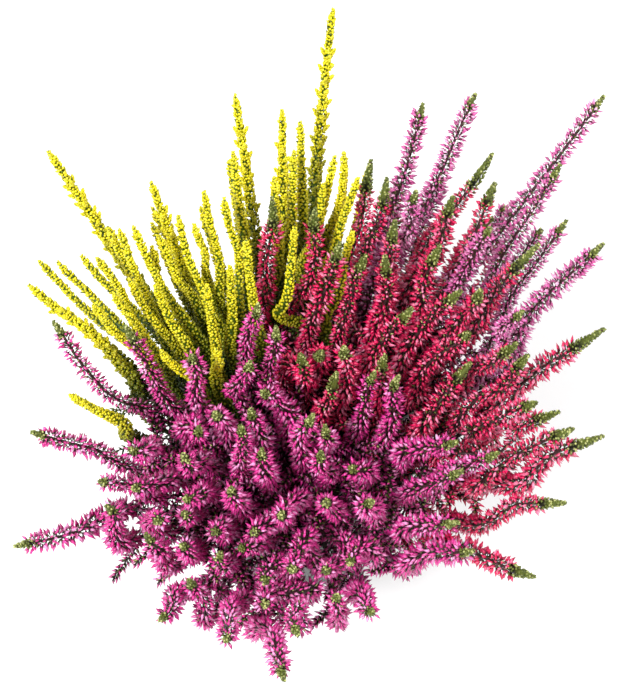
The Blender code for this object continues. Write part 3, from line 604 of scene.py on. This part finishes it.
def lay_out():
    """The routes of all shoots, before they are eased apart."""
    routes = []
    roots = branch_roots()
    number = 0
    for kind, branches in BRANCHES.items():
        for index, shoots in enumerate(branches, start=1):
            root = roots[number]
            number += 1
            branch = f"{kind}_branch_{index:02d}"
            tips = [tip_place(shoot, root) for shoot in shoots]
            lean = np.mean(tips, axis=0) - root
            start_way = unit(UP + START_LEAN * unit(lean) * (1.0, 1.0, 0.0))
            main = None
            for shoot, tip in zip(shoots, tips):
                way = end_direction(shoot, root, tip)
                if main is None:
                    main = curve_points(root, start_way, tip, way, SAMPLES)
                    routes.append(Route(kind, branch, True, main, shoot.green))
                else:
                    fork = fork_point(main)
                    side_way = unit(start_way + SIDE_LEAN * unit(tip - fork))
                    line = curve_points(fork, side_way, tip, way, SAMPLES)
                    routes.append(Route(kind, branch, False, line, shoot.green))
            if lean[1] > LOW_SHOOT_FROM:
                fork = fork_point(main)
                plan = unit(lean * (1.0, 1.0, 0.0))
                way = plan * math.cos(LOW_SHOOT_RISE) + UP * math.sin(LOW_SHOOT_RISE)
                tip = fork + way * LOW_SHOOT_LENGTH
                side_way = unit(start_way + SIDE_LEAN * way)
                line = curve_points(fork, side_way, tip, unit(way + 0.5 * UP), SAMPLES)
                routes.append(Route(kind, branch, False, line, 0.5 * shoots[0].green))
    return routes


def fork_point(main):
    """The point of a main shoot at which its side shoots leave it."""
    along = np.concatenate(((0.0,), np.cumsum(np.linalg.norm(np.diff(main, axis=0), axis=1))))
    return np.array([np.interp(FORK_HEIGHT, along, main[:, axis]) for axis in range(3)])


def full_radius(route, along, length):
    """The radius that a shoot would have with nothing beside it, at a distance along it."""
    kind = KINDS[route.kind]
    flower_end = length - route.green
    early = min(max((along - kind.bare * length) / (SWELL_SHARE * length), 0.0), 1.0)
    radius = STEM_RADIUS + (kind.radius - STEM_RADIUS) * early
    taper = TAPER_TO_GREEN if route.green else TAPER_TO_POINT
    late = min(max((along - TAPER_FROM * length) / (flower_end - TAPER_FROM * length), 0.0), 1.0)
    radius *= 1.0 - (1.0 - taper) * late ** 2
    if route.green and along > flower_end:
        radius = kind.green_radius
    return max(radius, STEM_RADIUS)


def spread_apart(routes):
    """Ease the shoots of different branches apart, with their roots held and their tips nearly so."""
    points = np.array([route.points for route in routes])
    count, samples, _ = points.shape
    names = sorted({route.branch for route in routes})
    branch = np.array([names.index(route.branch) for route in routes])
    radii = np.array([full_radii(route, samples) for route in routes])
    height = points[:, :, 2] - STEM_START
    hold = np.clip(height / EASE_IN, 0.0, 1.0)
    share = np.linspace(0.0, 1.0, samples)
    near_tip = np.clip((share - TIP_HOLD_FROM) / (1.0 - TIP_HOLD_FROM), 0.0, 1.0)
    hold = hold * (1.0 - TIP_HOLD * near_tip)
    of_branch = np.repeat(branch, samples)
    of_shoot = np.repeat(np.arange(count), samples)
    wanted = radii.reshape(-1)[:, None] + radii.reshape(-1)[None, :] + CLEARANCE
    wanted[of_branch[:, None] == of_branch[None, :]] *= 0.8
    wanted[of_shoot[:, None] == of_shoot[None, :]] = 0.0
    for _ in range(EASE_ROUNDS):
        flat = points.reshape(-1, 3)
        square = (flat ** 2).sum(axis=1)
        distance = np.sqrt(np.maximum(square[:, None] + square[None, :] - 2.0 * flat @ flat.T, 1e-9))
        push = np.clip((wanted - distance) / distance, 0.0, 1.0)
        move = push.sum(axis=1)[:, None] * flat - push @ flat
        crowd = push.sum(axis=1) / np.maximum(push.max(axis=1), 1e-6)
        move /= np.sqrt(np.maximum(crowd, 1.0))[:, None]
        move = EASE_STEP * move.reshape(count, samples, 3)
        for _ in range(2):
            move[:, 1:-1] = 0.25 * move[:, :-2] + 0.5 * move[:, 1:-1] + 0.25 * move[:, 2:]
        points = points + move * hold[:, :, None]
        beyond = np.linalg.norm(points[:, :, :2], axis=2) - POT_TOP_RADIUS
        near_rim = (beyond > RIM_REACH[0]) & (beyond < RIM_REACH[1])
        lowest = POT_HEIGHT + RIM_CLEAR + radii
        points[:, :, 2] = np.where(near_rim, np.maximum(points[:, :, 2], lowest), points[:, :, 2])
    for route, line in zip(routes, points):
        if route.main:
            fork = fork_point(line)
        else:
            fade = np.clip(1.0 - share / REJOIN_SHARE, 0.0, 1.0)[:, None]
            line = line + (fork - line[0]) * fade
        route.points = evenly(line, FINE_SAMPLES)


def full_radii(route, samples):
    """The full radius at evenly spaced points of a shoot."""
    length = route.length()
    return [full_radius(route, length * j / (samples - 1), length) for j in range(samples)]


def give_room(routes):
    """Narrow each shoot where another branch is close, to its half of the way between them."""
    for route in routes:
        others = np.concatenate([other.points for other in routes if other.branch != route.branch])
        nearest = np.array([np.linalg.norm(others - point, axis=1).min() for point in route.points])
        step = KINDS[route.kind].ring_step
        reach = max(1, round(0.6 * step * (FINE_SAMPLES - 1) / route.length()))
        padded = np.pad(nearest, reach, mode="edge")
        windows = np.lib.stride_tricks.sliding_window_view(padded, 2 * reach + 1)
        half_way = 0.5 * (windows.min(axis=1) - ROOM_GAP)
        route.radii = np.maximum(np.minimum(full_radii(route, FINE_SAMPLES), half_way), LEAST_RADIUS)


def frame_along(points):
    """A sideways direction for each point, carried along the line without twisting."""
    ways = np.gradient(points, axis=0)
    ways /= np.linalg.norm(ways, axis=1)[:, None]
    side = unit(np.cross(ways[0], (0.0, 1.0, 0.1)))
    sides = []
    for way in ways:
        side = unit(side - way * np.dot(side, way))
        sides.append(side)
    return ways, np.array(sides)


routes = lay_out()
spread_apart(routes)
give_room(routes)


# Growth: the stems, leaves and buds that clothe a shoot. A shoot is a thin round stem, and hundreds of
# tiny leaves or buds stand round it in rings. Each one is a copy of a small closed shape, which keeps
# three numbers for its colour: its own tone, how far out on it a point is, and how high on the shoot.
STEM_SIDES = 5
STEM_RINGS = 18
STEM_TOP_RADIUS = 0.0005
SLOW_TWIST = 0.13
STEM_SLOT, LEAF_SLOT, FLOWER_SLOT = 0, 1, 2
Shape = namedtuple("Shape", "corners triangles")


def shape_of(mesh):
    """The corners and triangles of a bmesh, to be copied many times."""
    bmesh.ops.triangulate(mesh, faces=mesh.faces[:])
    mesh.verts.index_update()
    corners = np.array([vertex.co[:] for vertex in mesh.verts])
    triangles = np.array([[vertex.index for vertex in face.verts] for face in mesh.faces])
    mesh.free()
    return Shape(corners, triangles)


class Spray:
    """The mesh of one branch as it grows: many copies of small shapes, with their colour numbers."""

    def __init__(self):
        self.corners, self.triangles, self.slots = [], [], []
        self.tones, self.reaches, self.ages = [], [], []
        self.size = 0

    def put(self, corners, triangles, slot, tones, reaches, ages):
        """Take in corners (copies, points, 3) and the triangles that join the points of each copy."""
        copies, points, _ = corners.shape
        starts = self.size + points * np.arange(copies)
        self.corners.append(corners.reshape(-1, 3))
        self.triangles.append((triangles[None] + starts[:, None, None]).reshape(-1, 3))
        self.slots.append(np.full(copies * len(triangles), slot))
        self.tones.append(np.repeat(tones, points))
        self.reaches.append(np.tile(reaches, copies))
        self.ages.append(np.repeat(ages, points) if len(ages) == copies else ages)
        self.size += copies * points

    def add(self, shape, stand, lengths, widths, slot, tones, ages):
        """Add a copy of the shape at each place, along its way, in its own length and width."""
        places, ways, sides = stand
        across = np.cross(ways, sides)
        x, y, z = shape.corners.T
        thick = x[None, :, None] * sides[:, None, :] + y[None, :, None] * across[:, None, :]
        high = z[None, :, None] * ways[:, None, :]
        corners = places[:, None, :] + widths[:, None, None] * thick + lengths[:, None, None] * high
        self.put(corners, shape.triangles, slot, tones, z / z.max(), ages)

    def piece(self, name, finishes):
        """The whole spray as an object of the scene."""
        corners = np.concatenate(self.corners).astype(np.float32)
        triangles = np.concatenate(self.triangles).astype(np.int32)
        data = bpy.data.meshes.new(name)
        data.vertices.add(len(corners))
        data.vertices.foreach_set("co", corners.ravel())
        data.loops.add(triangles.size)
        data.loops.foreach_set("vertex_index", triangles.ravel())
        data.polygons.add(len(triangles))
        data.polygons.foreach_set("loop_start", np.arange(0, triangles.size, 3, dtype=np.int32))
        for finish in finishes:
            data.materials.append(finish)
        data.polygons.foreach_set("material_index", np.concatenate(self.slots).astype(np.int32))
        data.polygons.foreach_set("use_smooth", np.ones(len(triangles), dtype=bool))
        for label, values in (("tone", self.tones), ("reach", self.reaches), ("age", self.ages)):
            layer = data.attributes.new(label, "FLOAT", "POINT")
            layer.data.foreach_set("value", np.concatenate(values).astype(np.float32))
        data.update(calc_edges=True)
        thing = bpy.data.objects.new(name, data)
        bpy.context.scene.collection.objects.link(thing)
        return thing


def stations(route, distances):
    """Where a shoot is at distances along it: the point, its way, two directions square to it, its radius."""
    steps = np.linspace(0.0, route.length(), FINE_SAMPLES)
    ways, sides = frame_along(route.points)

    def at(values):
        return np.stack([np.interp(distances, steps, values[:, axis]) for axis in range(3)], axis=1)

    way = at(ways)
    way /= np.linalg.norm(way, axis=1)[:, None]
    side = at(sides)
    side -= way * (side * way).sum(axis=1)[:, None]
    side /= np.linalg.norm(side, axis=1)[:, None]
    return at(route.points), way, side, np.cross(way, side), np.interp(distances, steps, route.radii)


def in_rings(start, end, step, count, loose):
    """Distances along a shoot and turns round it, in rings of count that stand between each other."""
    rings = max(1, round((end - start) / step))
    ring = np.repeat(np.arange(rings), count)
    seat = np.tile(np.arange(count), rings)
    distances = start + (end - start) * (ring + 0.5) / rings
    distances += rng.uniform(-loose, loose, len(ring)) * step
    turns = (seat + 0.5 * (ring % 2) + rng.uniform(-loose, loose, len(ring))) * 2.0 * math.pi / count
    return np.clip(distances, start, end), turns + SLOW_TWIST * ring


def standing(route, distances, turns, depths, rises):
    """Places, ways and sides of what stands round a shoot, at depths from its middle line."""
    middle, way, side, across, _ = stations(route, distances)
    out = np.cos(turns)[:, None] * side + np.sin(turns)[:, None] * across
    ways = np.cos(rises)[:, None] * out + np.sin(rises)[:, None] * way
    return middle + depths[:, None] * out, ways, np.cross(way, out)


def add_stem(spray, route, radius, top_radius, share, slot):
    """The round stem of a shoot: a ring of corners drawn out along its route."""
    length = route.length()
    distances = np.linspace(0.0, length, STEM_RINGS)
    middle, way, side, across, room = stations(route, distances)
    turns = 2.0 * math.pi * np.arange(STEM_SIDES) / STEM_SIDES
    radii = np.minimum(np.linspace(radius, top_radius, STEM_RINGS), np.maximum(room, top_radius))
    radii = np.maximum(radii, share * room)
    radii[-1] = top_radius
    spokes = np.cos(turns)[None, :, None] * side[:, None, :] + np.sin(turns)[None, :, None] * across[:, None, :]
    rings = list(middle[:, None, :] + radii[:, None, None] * spokes)
    if route.main:
        foot = rings[0].copy()
        foot[:, 2] = SOIL_TOP - HOLE_DEPTH + GAP
        rings.insert(0, foot)
    mesh = bmesh.new()
    bmesh.ops.create_circle(mesh, cap_ends=True, segments=STEM_SIDES, radius=radius)
    mesh.faces.ensure_lookup_table()
    end = mesh.faces[0]
    for vertex, corner in zip(end.verts, rings[0]):
        vertex.co = corner
    new = bmesh.ops.extrude_face_region(mesh, geom=[end])["geom"]
    end = next(item for item in new if isinstance(item, bmesh.types.BMFace))
    for vertex, corner in zip(end.verts, rings[1]):
        vertex.co = corner
    for ring in rings[2:]:
        end = bmesh.ops.extrude_discrete_faces(mesh, faces=[end])["faces"][0]
        for vertex, corner in zip(end.verts, ring):
            vertex.co = corner
    bmesh.ops.recalc_face_normals(mesh, faces=mesh.faces[:])
    shape = shape_of(mesh)
    apart = np.linalg.norm(shape.corners[:, None, :] - middle[None, :, :], axis=2)
    spray.put(shape.corners[None], shape.triangles, slot, np.array([0.45]),
              np.full(len(shape.corners), 0.5), distances[apart.argmin(axis=1)] / length)


# A needle is a narrow leaf, a scale a short blunt one, and a heart the green middle of a growing tip.
# A bud is a thin stalk that widens into four folded sepals.
needle = shape_of(turned(((0.0, 0.0), (0.50, 0.38), (0.0, 1.0)), 3))
scale = shape_of(turned(((0.0, 0.0), (0.52, 0.55), (0.0, 1.0)), 4))
heart = shape_of(turned(((0.0, 0.0), (0.85, 0.10), (1.0, 0.40), (0.55, 0.80), (0.0, 1.0)), 6))
bud = shape_of(turned(((0.0, 0.0), (0.18, 0.28), (0.50, 0.60), (0.0, 1.0)), 3))


def add_leaves(spray, route, rows, size, rises, depth, slot):
    """Leaves in rings from start to end of a shoot, which stand less far out where it has little room."""
    distances, turns = in_rings(*rows, 0.25)
    room = stations(route, distances)[4]
    count = len(distances)
    share = (distances - rows[0]) / max(rows[1] - rows[0], 1e-6)
    rise = np.interp(share, (0.0, 1.0), rises) + rng.normal(0.0, 0.12, count)
    lengths = size[0] * rng.uniform(0.75, 1.15, count)
    stand_out = np.cos(rise) * lengths
    lengths *= np.minimum(1.0, np.maximum(room - depth, 0.0006) / stand_out)
    stand = standing(route, distances, turns, np.full(count, depth), rise)
    spray.add(needle, stand, lengths, size[1] * rng.uniform(0.8, 1.15, count), slot,
              rng.uniform(size=count), distances / route.length())


def add_cone(spray, route, start, radius, size, step, count, slot):
    """The growing tip of a shoot: scales in close rings, which draw in to a point round a green heart."""
    length = route.length()
    middle, way, side, _, _ = stations(route, np.array([start, length]))
    lean = unit(middle[1] - middle[0])
    stand = (middle[:1], lean[None], unit(side[0] - lean * np.dot(side[0], lean))[None])
    spray.add(heart, stand, np.array([length - start]), np.array([0.50 * radius]), slot,
              np.array([0.2]), np.array([1.0]))
    distances, turns = in_rings(start, length - 0.0004, step, count, 0.28)
    share = (distances - start) / (length - start)
    rise = 0.55 + 0.75 * share + rng.normal(0.0, 0.15, len(share))
    lengths = size[0] * (1.0 - 0.30 * share) * rng.uniform(0.7, 1.25, len(share))
    outer = radius * (1.0 - 0.85 * share ** 1.4)
    depths = np.maximum(outer - np.cos(rise) * lengths, 0.0001)
    stand = standing(route, distances, turns, depths, rise)
    spray.add(scale, stand, lengths, np.full(len(share), size[1]), slot, rng.uniform(size=len(share)),
              distances / length)


# Colour: one group paints every leaf, bud and stem. It goes from the deep colour at its foot, partly painted
# shade, to the body colour, makes a few of them pale, partly as painted highlights, and a few dark, darkens
# what stands low on a shoot with painted shade, and adds veins.
tissue = bpy.data.node_groups.new("tissue", "ShaderNodeTree")
for label in ("Low", "Deep", "Body", "Pale_and_highlight"):
    tissue.interface.new_socket(label, in_out="INPUT", socket_type="NodeSocketColor")
for label in ("Tone", "Reach", "Age", "Foot", "Highlight_paleness"):
    tissue.interface.new_socket(label, in_out="INPUT", socket_type="NodeSocketFloat")
tissue.interface.new_socket("Colour", in_out="OUTPUT", socket_type="NodeSocketColor")
tissue.interface.new_socket("Height", in_out="OUTPUT", socket_type="NodeSocketFloat")
nodes, links = tissue.nodes, tissue.links
given = nodes.new("NodeGroupInput")
made = nodes.new("NodeGroupOutput")


def colour_mix(nodes, links, first, second, share, blend="MIX"):
    """A mix of two colours by a share, each of them a socket or a value."""
    mix = nodes.new("ShaderNodeMix")
    mix.data_type = "RGBA"
    mix.blend_type = blend
    for socket, value in (("A", first), ("B", second), ("Factor", share)):
        into = next(item for item in mix.inputs if item.name == socket and item.enabled)
        if isinstance(value, bpy.types.NodeSocket):
            links.new(value, into)
        else:
            into.default_value = value
    return next(item for item in mix.outputs if item.enabled)


def spread(nodes, links, value, low_end, high_end, low_value=0.0, high_value=1.0):
    """A value carried smoothly from one range to another."""
    ease = nodes.new("ShaderNodeMapRange")
    ease.interpolation_type = "SMOOTHSTEP"
    for socket, number in (("From Min", low_end), ("From Max", high_end), ("To Min", low_value),
                           ("To Max", high_value)):
        if isinstance(number, bpy.types.NodeSocket):
            links.new(number, ease.inputs[socket])
        else:
            ease.inputs[socket].default_value = number
    links.new(value, ease.inputs["Value"])
    return ease.outputs["Result"]


# Each copy is dark at its foot: partly its own darker stalk, partly painted shade where it meets the stem among
# its neighbours
beyond_foot = nodes.new("ShaderNodeMath")
beyond_foot.operation = "ADD"
beyond_foot.inputs[1].default_value = 0.22
links.new(given.outputs["Foot"], beyond_foot.inputs[0])
outer = spread(nodes, links, given.outputs["Reach"], given.outputs["Foot"], beyond_foot.outputs["Value"])
colour = colour_mix(nodes, links, given.outputs["Deep"], given.outputs["Body"], outer)
# Painted highlight, partly also a paler tone: a few copies, at random, turn pale towards their outer end
few = spread(nodes, links, given.outputs["Tone"], 0.55, 1.0)
highlight_share = nodes.new("ShaderNodeMath")
highlight_share.operation = "MULTIPLY"
links.new(few, highlight_share.inputs[0])
links.new(given.outputs["Highlight_paleness"], highlight_share.inputs[1])
highlight_outer = nodes.new("ShaderNodeMath")
highlight_outer.operation = "MULTIPLY"
links.new(highlight_share.outputs["Value"], highlight_outer.inputs[0])
links.new(outer, highlight_outer.inputs[1])
colour = colour_mix(nodes, links, colour, given.outputs["Pale_and_highlight"], highlight_outer.outputs["Value"])
shade = spread(nodes, links, given.outputs["Tone"], 0.0, 0.5, 0.45, 0.0)
colour = colour_mix(nodes, links, colour, given.outputs["Deep"], shade)
# Painted shade: what stands low on a shoot, deep in the plant, is mixed towards the low colour
shaded_lowness = spread(nodes, links, given.outputs["Age"], 0.10, 0.62, 0.85, 0.0)
colour = colour_mix(nodes, links, colour, given.outputs["Low"], shaded_lowness)
where = nodes.new("ShaderNodeTexCoord")
veins = nodes.new("ShaderNodeTexNoise")
veins.inputs["Scale"].default_value = 1600.0
veins.inputs["Detail"].default_value = 3.0
links.new(where.outputs["Object"], veins.inputs["Vector"])
mottle = spread(nodes, links, veins.outputs["Fac"], 0.30, 0.70, 0.72, 1.12)
grey = nodes.new("ShaderNodeCombineColor")
for socket in ("Red", "Green", "Blue"):
    links.new(mottle, grey.inputs[socket])
colour = colour_mix(nodes, links, colour, grey.outputs["Color"], 1.0, "MULTIPLY")
links.new(colour, made.inputs["Colour"])
links.new(veins.outputs["Fac"], made.inputs["Height"])


# The low colour given to a finish is painted shade, and the pale colour is partly painted highlight
def grown(name, shaded_low_colour, deep, body, pale_and_highlight, foot, highlight_paleness, roughness, coat=0.0):
    """A finish for leaves, buds or stems, painted by the tissue group from a mesh's own numbers."""
    finish, nodes, links, shader = new_material(name, roughness)
    paints = nodes.new("ShaderNodeGroup")
    paints.node_tree = tissue
    for label, value in (("Low", shaded_low_colour), ("Deep", deep), ("Body", body), ("Pale_and_highlight", pale_and_highlight),
                         ("Foot", foot), ("Highlight_paleness", highlight_paleness)):
        paints.inputs[label].default_value = value
    for label in ("tone", "reach", "age"):
        layer = nodes.new("ShaderNodeAttribute")
        layer.attribute_name = label
        links.new(layer.outputs["Fac"], paints.inputs[label.capitalize()])
    links.new(paints.outputs["Colour"], shader.inputs["Base Color"])
    surface = nodes.new("ShaderNodeBump")
    surface.inputs["Strength"].default_value = 0.30
    surface.inputs["Distance"].default_value = 0.00015
    links.new(paints.outputs["Height"], surface.inputs["Height"])
    links.new(surface.outputs["Normal"], shader.inputs["Normal"])
    shader.inputs["Coat Weight"].default_value = coat
    shader.inputs["Coat Roughness"].default_value = 0.20
    return finish


FLOWER_LEAF = (0.0028, 0.0010)
SPRIG_RADIUS = 0.0005
SPRIG_LEAVES = 20
SPRIG_BUDS = 28
SPRIG_BUD = (0.0044, 0.0016)
WINDING = 2.4


def round_line(foot, lean, length, shares, opening):
    """Places, ways and sides of what winds round a straight line, at shares of its length."""
    first = unit(np.cross(lean, np.eye(3)[np.abs(lean).argmin()]))
    second = np.cross(lean, first)
    turns = WINDING * np.arange(len(shares))
    spokes = np.cos(turns)[:, None] * first + np.sin(turns)[:, None] * second
    places = foot + lean * (length * shares)[:, None]
    ways = lean + spokes * np.linspace(*opening, len(shares))[:, None]
    ways /= np.linalg.norm(ways, axis=1)[:, None]
    sides = np.cross(ways, spokes)
    sides /= np.linalg.norm(sides, axis=1)[:, None]
    return places, ways, sides


def add_sprigs(spray, route, rows, lengths, flowered):
    """Short side sprigs low on a shoot, which fill the space between the long ones."""
    distances, turns = in_rings(*rows, 0.3)
    middle, way, side, across, _ = stations(route, distances)
    for foot, turn, along, first, second in zip(middle, turns, way, side, across):
        lean = unit(math.cos(turn) * first + math.sin(turn) * second + 0.65 * along + 0.25 * UP)
        length = rng.uniform(*lengths)
        # The sprig's height on its shoot sets how far painted shade darkens its leaves and buds
        height = rng.uniform(0.38, 0.66)
        stem = (foot[None], lean[None], unit(np.cross(lean, along))[None])
        spray.add(needle, stem, np.array([length]), np.array([2.0 * SPRIG_RADIUS]), STEM_SLOT,
                  np.array([0.5]), np.array([0.4]))
        stand = round_line(foot, lean, length, np.linspace(0.10, 0.95, SPRIG_LEAVES), (2.0, 0.5))
        spray.add(needle, stand, FLOWER_LEAF[0] * rng.uniform(0.8, 1.3, SPRIG_LEAVES),
                  np.full(SPRIG_LEAVES, FLOWER_LEAF[1] * 1.2), LEAF_SLOT, rng.uniform(size=SPRIG_LEAVES),
                  np.full(SPRIG_LEAVES, height))
        if flowered:
            stand = round_line(foot, lean, length, np.linspace(0.25, 0.98, SPRIG_BUDS), (2.6, 0.9))
            spray.add(needle, stand, SPRIG_BUD[0] * rng.uniform(0.7, 1.1, SPRIG_BUDS),
                      np.full(SPRIG_BUDS, SPRIG_BUD[1]), FLOWER_SLOT, rng.uniform(size=SPRIG_BUDS),
                      np.full(SPRIG_BUDS, height))


def branches_of(kind):
    """The branches of a kind by name, each with its shoots."""
    found = {}
    for route in routes:
        if route.kind == kind:
            found.setdefault(route.branch, []).append(route)
    return found


def add_branch(spray, branch, finishes):
    """Put a finished branch into the scene in the place of its plain solid."""
    piece = spray.piece(f"{branch}_grown", finishes)
    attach(piece, "root")
    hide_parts(branch)


# Yellow heather: slender columns of tiny lemon scale leaves, closed to a rounded point, that turn
# green towards the soil and darker there with painted shade. The tall leaders carry short side tufts, with bare
# stem between.
YELLOW_SHARE = 0.80
YELLOW_TAPER = ((0.0, 0.55, 1.0), (1.0, 0.95, 0.60))
LEADER_LENGTH = 0.149
SCALE_SIZE = (0.0021, 0.00135)
SCALE_STEP = 0.00140
TUFT_STEP = 0.0050
TUFT_SCALES = 15
TUFT_REACH = (0.0028, 0.0056)
# How far up a yellow shoot the low green reaches, with its painted shade
YELLOWING_AND_SHADE = 2.3

# The first colour of each finish is the low green or brown darkened as painted shade
yellow_finishes = [
    grown("yellow_stem", paint(20, 18, 8), paint(32, 30, 12), paint(56, 54, 18), paint(84, 80, 28),
          0.0, 0.5, 0.65),
    grown("yellow_green_leaf", paint(8, 18, 4), paint(18, 36, 6), paint(62, 88, 12),
          paint(122, 140, 20), 0.2, 0.6, 0.50),
    grown("yellow_scale", paint(36, 80, 8), paint(78, 104, 6), paint(244, 228, 16),
          paint(255, 248, 72), 0.28, 0.7, 0.40),
]

for branch, shoots in branches_of("yellow").items():
    spray = Spray()
    for route in shoots:
        length = route.length()
        leader = length > LEADER_LENGTH
        add_stem(spray, route, 0.0012, STEM_TOP_RADIUS, 0.22 if leader else 0.42, LEAF_SLOT)
        leafy_from = 0.30 * length
        green_to = 0.52 * length
        add_leaves(spray, route, (0.012, leafy_from, 0.0022, 5), (0.0026, 0.0010), (0.7, 0.9), 0.0006,
                   LEAF_SLOT)
        add_leaves(spray, route, (leafy_from, length - 0.006, 0.0032, 4), (0.0024, 0.0013), (0.8, 0.9),
                   0.0004, LEAF_SLOT)
        for rows in ((leafy_from, green_to, 1.5 * SCALE_STEP, 7), (green_to, length - 0.004, SCALE_STEP, 7)):
            distances, turns = in_rings(*rows, 0.32)
            room = stations(route, distances)[4]
            outer_reach = np.maximum(YELLOW_SHARE * room, 0.0012)
            outer_reach = outer_reach * np.interp(distances / length, *YELLOW_TAPER)
            count = len(distances)
            rise = rng.normal(0.80, 0.14, count)
            lengths = SCALE_SIZE[0] * rng.uniform(0.8, 1.2, count)
            depths = np.maximum(outer_reach - np.cos(rise) * lengths, 0.0003)
            spray.add(scale, standing(route, distances, turns, depths, rise), lengths,
                      np.full(count, SCALE_SIZE[1]), FLOWER_SLOT, rng.uniform(size=count),
                      (distances / length) ** YELLOWING_AND_SHADE)
        add_sprigs(spray, route, (0.012, 0.40 * length, 0.011, 1), (0.014, 0.024), False)
        tip_radius = max(0.75 * YELLOW_SHARE * float(route.radii[-4]), 0.0010)
        add_cone(spray, route, length - 0.0045, tip_radius, (0.0018, 0.0011), 0.0011, 5, FLOWER_SLOT)
        if leader:
            distances, turns = in_rings(0.34 * length, 0.90 * length, TUFT_STEP, 3, 0.25)
            middle, way, side, across, room = stations(route, distances)
            for number, turn in enumerate(turns):
                out = math.cos(turn) * side[number] + math.sin(turn) * across[number]
                reach = min(max(1.2 * room[number], TUFT_REACH[0]), TUFT_REACH[1])
                stand = round_line(middle[number] + 0.0006 * out, unit(0.75 * out + way[number]),
                                   0.8 * reach, np.linspace(0.1, 1.0, TUFT_SCALES), (1.2, 0.2))
                spray.add(scale, stand, np.full(TUFT_SCALES, 0.0017), np.full(TUFT_SCALES, 0.0011),
                          FLOWER_SLOT, rng.uniform(size=TUFT_SCALES),
                          np.full(TUFT_SCALES, (distances[number] / length) ** YELLOWING_AND_SHADE))
    add_branch(spray, branch, yellow_finishes)

# Flowering heathers: stiff sprays of closed pointed buds round a dark stem, with a green growing tip of
# blunt scale leaves. The three kinds differ in how close their buds stand, in how they lean and in colour.
Flowering = namedtuple("Flowering", "row around bud_width fullness green rises low_from finishes")
TIP_LEAF = (0.0021, 0.0011)
BUD_FOOT = 0.0007
LEAST_ROOM = 0.72
LONGEST_BUD = 0.0060

# The first of these leaf colours is painted shade for leaves low in the plant, the last partly painted
# highlight
green_leaf_paints = (paint(6, 12, 5), paint(16, 24, 8), paint(104, 116, 40), paint(204, 208, 132))


# The first colour given is painted shade for buds low and deep in the plant; the pale one is partly painted
# highlight
def flowering_finishes(kind, shaded_low_colour, deep, body, pale_and_highlight, highlight_paleness):
    """The three finishes of a flowering heather: stem, leaf and bud."""
    return [
        grown(f"{kind}_stem", paint(20, 12, 10), paint(34, 18, 16), paint(62, 34, 34), paint(92, 60, 52),
              0.0, 0.5, 0.60),
        grown(f"{kind}_leaf", *green_leaf_paints, 0.30, 0.80, 0.50),
        grown(f"{kind}_bud", shaded_low_colour, deep, body, pale_and_highlight, 0.36, highlight_paleness, 0.30, 0.40),
    ]


def dress_flowering(kind, look):
    """Every branch of a flowering heather: stems, leaves between the buds, buds and green tips."""
    for branch, shoots in branches_of(kind).items():
        spray = Spray()
        for route in shoots:
            length = route.length()
            start = 0.9 * KINDS[kind].bare * length
            end = length - route.green
            add_stem(spray, route, 0.0012, STEM_TOP_RADIUS, 0.0, STEM_SLOT)
            add_leaves(spray, route, (0.010, start + 0.008, 0.0021, 5), FLOWER_LEAF, (0.5, 0.8), 0.0006,
                       LEAF_SLOT)
            add_leaves(spray, route, (start + 0.008, end, 0.0040, 4), FLOWER_LEAF, (0.3, 0.8), 0.0006,
                       LEAF_SLOT)
            add_sprigs(spray, route, (0.010, 0.46 * length, 0.0085, 1), (0.012, 0.022), True)
            close_from = start + look.low_from * (end - start)
            fullness = rng.uniform(*look.fullness)
            for shape, rows in ((scale, (start, close_from, 1.4 * look.row, look.around - 3)),
                                (bud, (close_from, end + 0.001, look.row, look.around))):
                distances, turns = in_rings(*rows, 0.25)
                room = stations(route, np.minimum(distances, end - 0.0008))[4]
                room = np.maximum(room, LEAST_ROOM * KINDS[kind].radius)
                count = len(distances)
                share = (distances - start) / (end - start)
                rise = np.interp(share, (0.0, 0.8, 1.0), look.rises) + rng.normal(0.0, 0.24, count)
                reach = fullness * room * rng.uniform(0.68, 1.06, count)
                lengths = np.minimum((reach - BUD_FOOT) / np.cos(rise), LONGEST_BUD)
                widths = look.bud_width * rng.uniform(0.85, 1.12, count) * np.clip(lengths / 0.0045, 0.6, 1.0)
                stand = standing(route, distances, turns, np.full(count, BUD_FOOT), rise)
                crowding = np.clip(room / KINDS[kind].radius + 0.30, 0.0, 1.0)
                keep = (lengths > 0.0014) & (rng.uniform(size=count) < crowding)
                stand = tuple(values[keep] for values in stand)
                spray.add(shape, stand, lengths[keep], widths[keep], FLOWER_SLOT,
                          rng.uniform(size=keep.sum()), distances[keep] / length)
            green_radius = look.green * KINDS[kind].green_radius
            add_cone(spray, route, end - 0.0012, green_radius, TIP_LEAF, 0.0011, 6, LEAF_SLOT)
        add_branch(spray, branch, look.finishes)


# Pink heather: the lightest and most open sprays, at the back on the right, with dark stem showing.
pink_finishes = flowering_finishes(
    "pink", paint(84, 20, 56), paint(84, 24, 46), paint(232, 104, 178), paint(255, 204, 234), 0.80)
dress_flowering("pink", Flowering(row=0.0017, around=9, bud_width=0.0016, fullness=(0.72, 0.88), green=0.66,
                                  rises=(-0.15, 0.05, 0.55), low_from=0.30, finishes=pink_finishes))

# Crimson heather: dense carmine sprays on the right, with the largest green tips.
crimson_finishes = flowering_finishes(
    "crimson", paint(40, 2, 16), paint(50, 2, 18), paint(242, 28, 98), paint(255, 164, 200), 0.72)
dress_flowering("crimson", Flowering(row=0.0020, around=9, bud_width=0.0016, fullness=(0.80, 1.00), green=0.84,
                                     rises=(-0.35, -0.15, 0.50), low_from=0.40, finishes=crimson_finishes))

# Magenta heather: the fullest kind, over the whole front, with short sprays that face the eye.
magenta_finishes = flowering_finishes(
    "magenta", paint(40, 2, 26), paint(48, 2, 26), paint(236, 56, 156), paint(255, 184, 234), 0.72)
dress_flowering("magenta", Flowering(row=0.0022, around=9, bud_width=0.0015, fullness=(0.78, 1.00), green=0.74,
                                     rises=(-0.40, -0.20, 0.35), low_from=0.40, finishes=magenta_finishes))
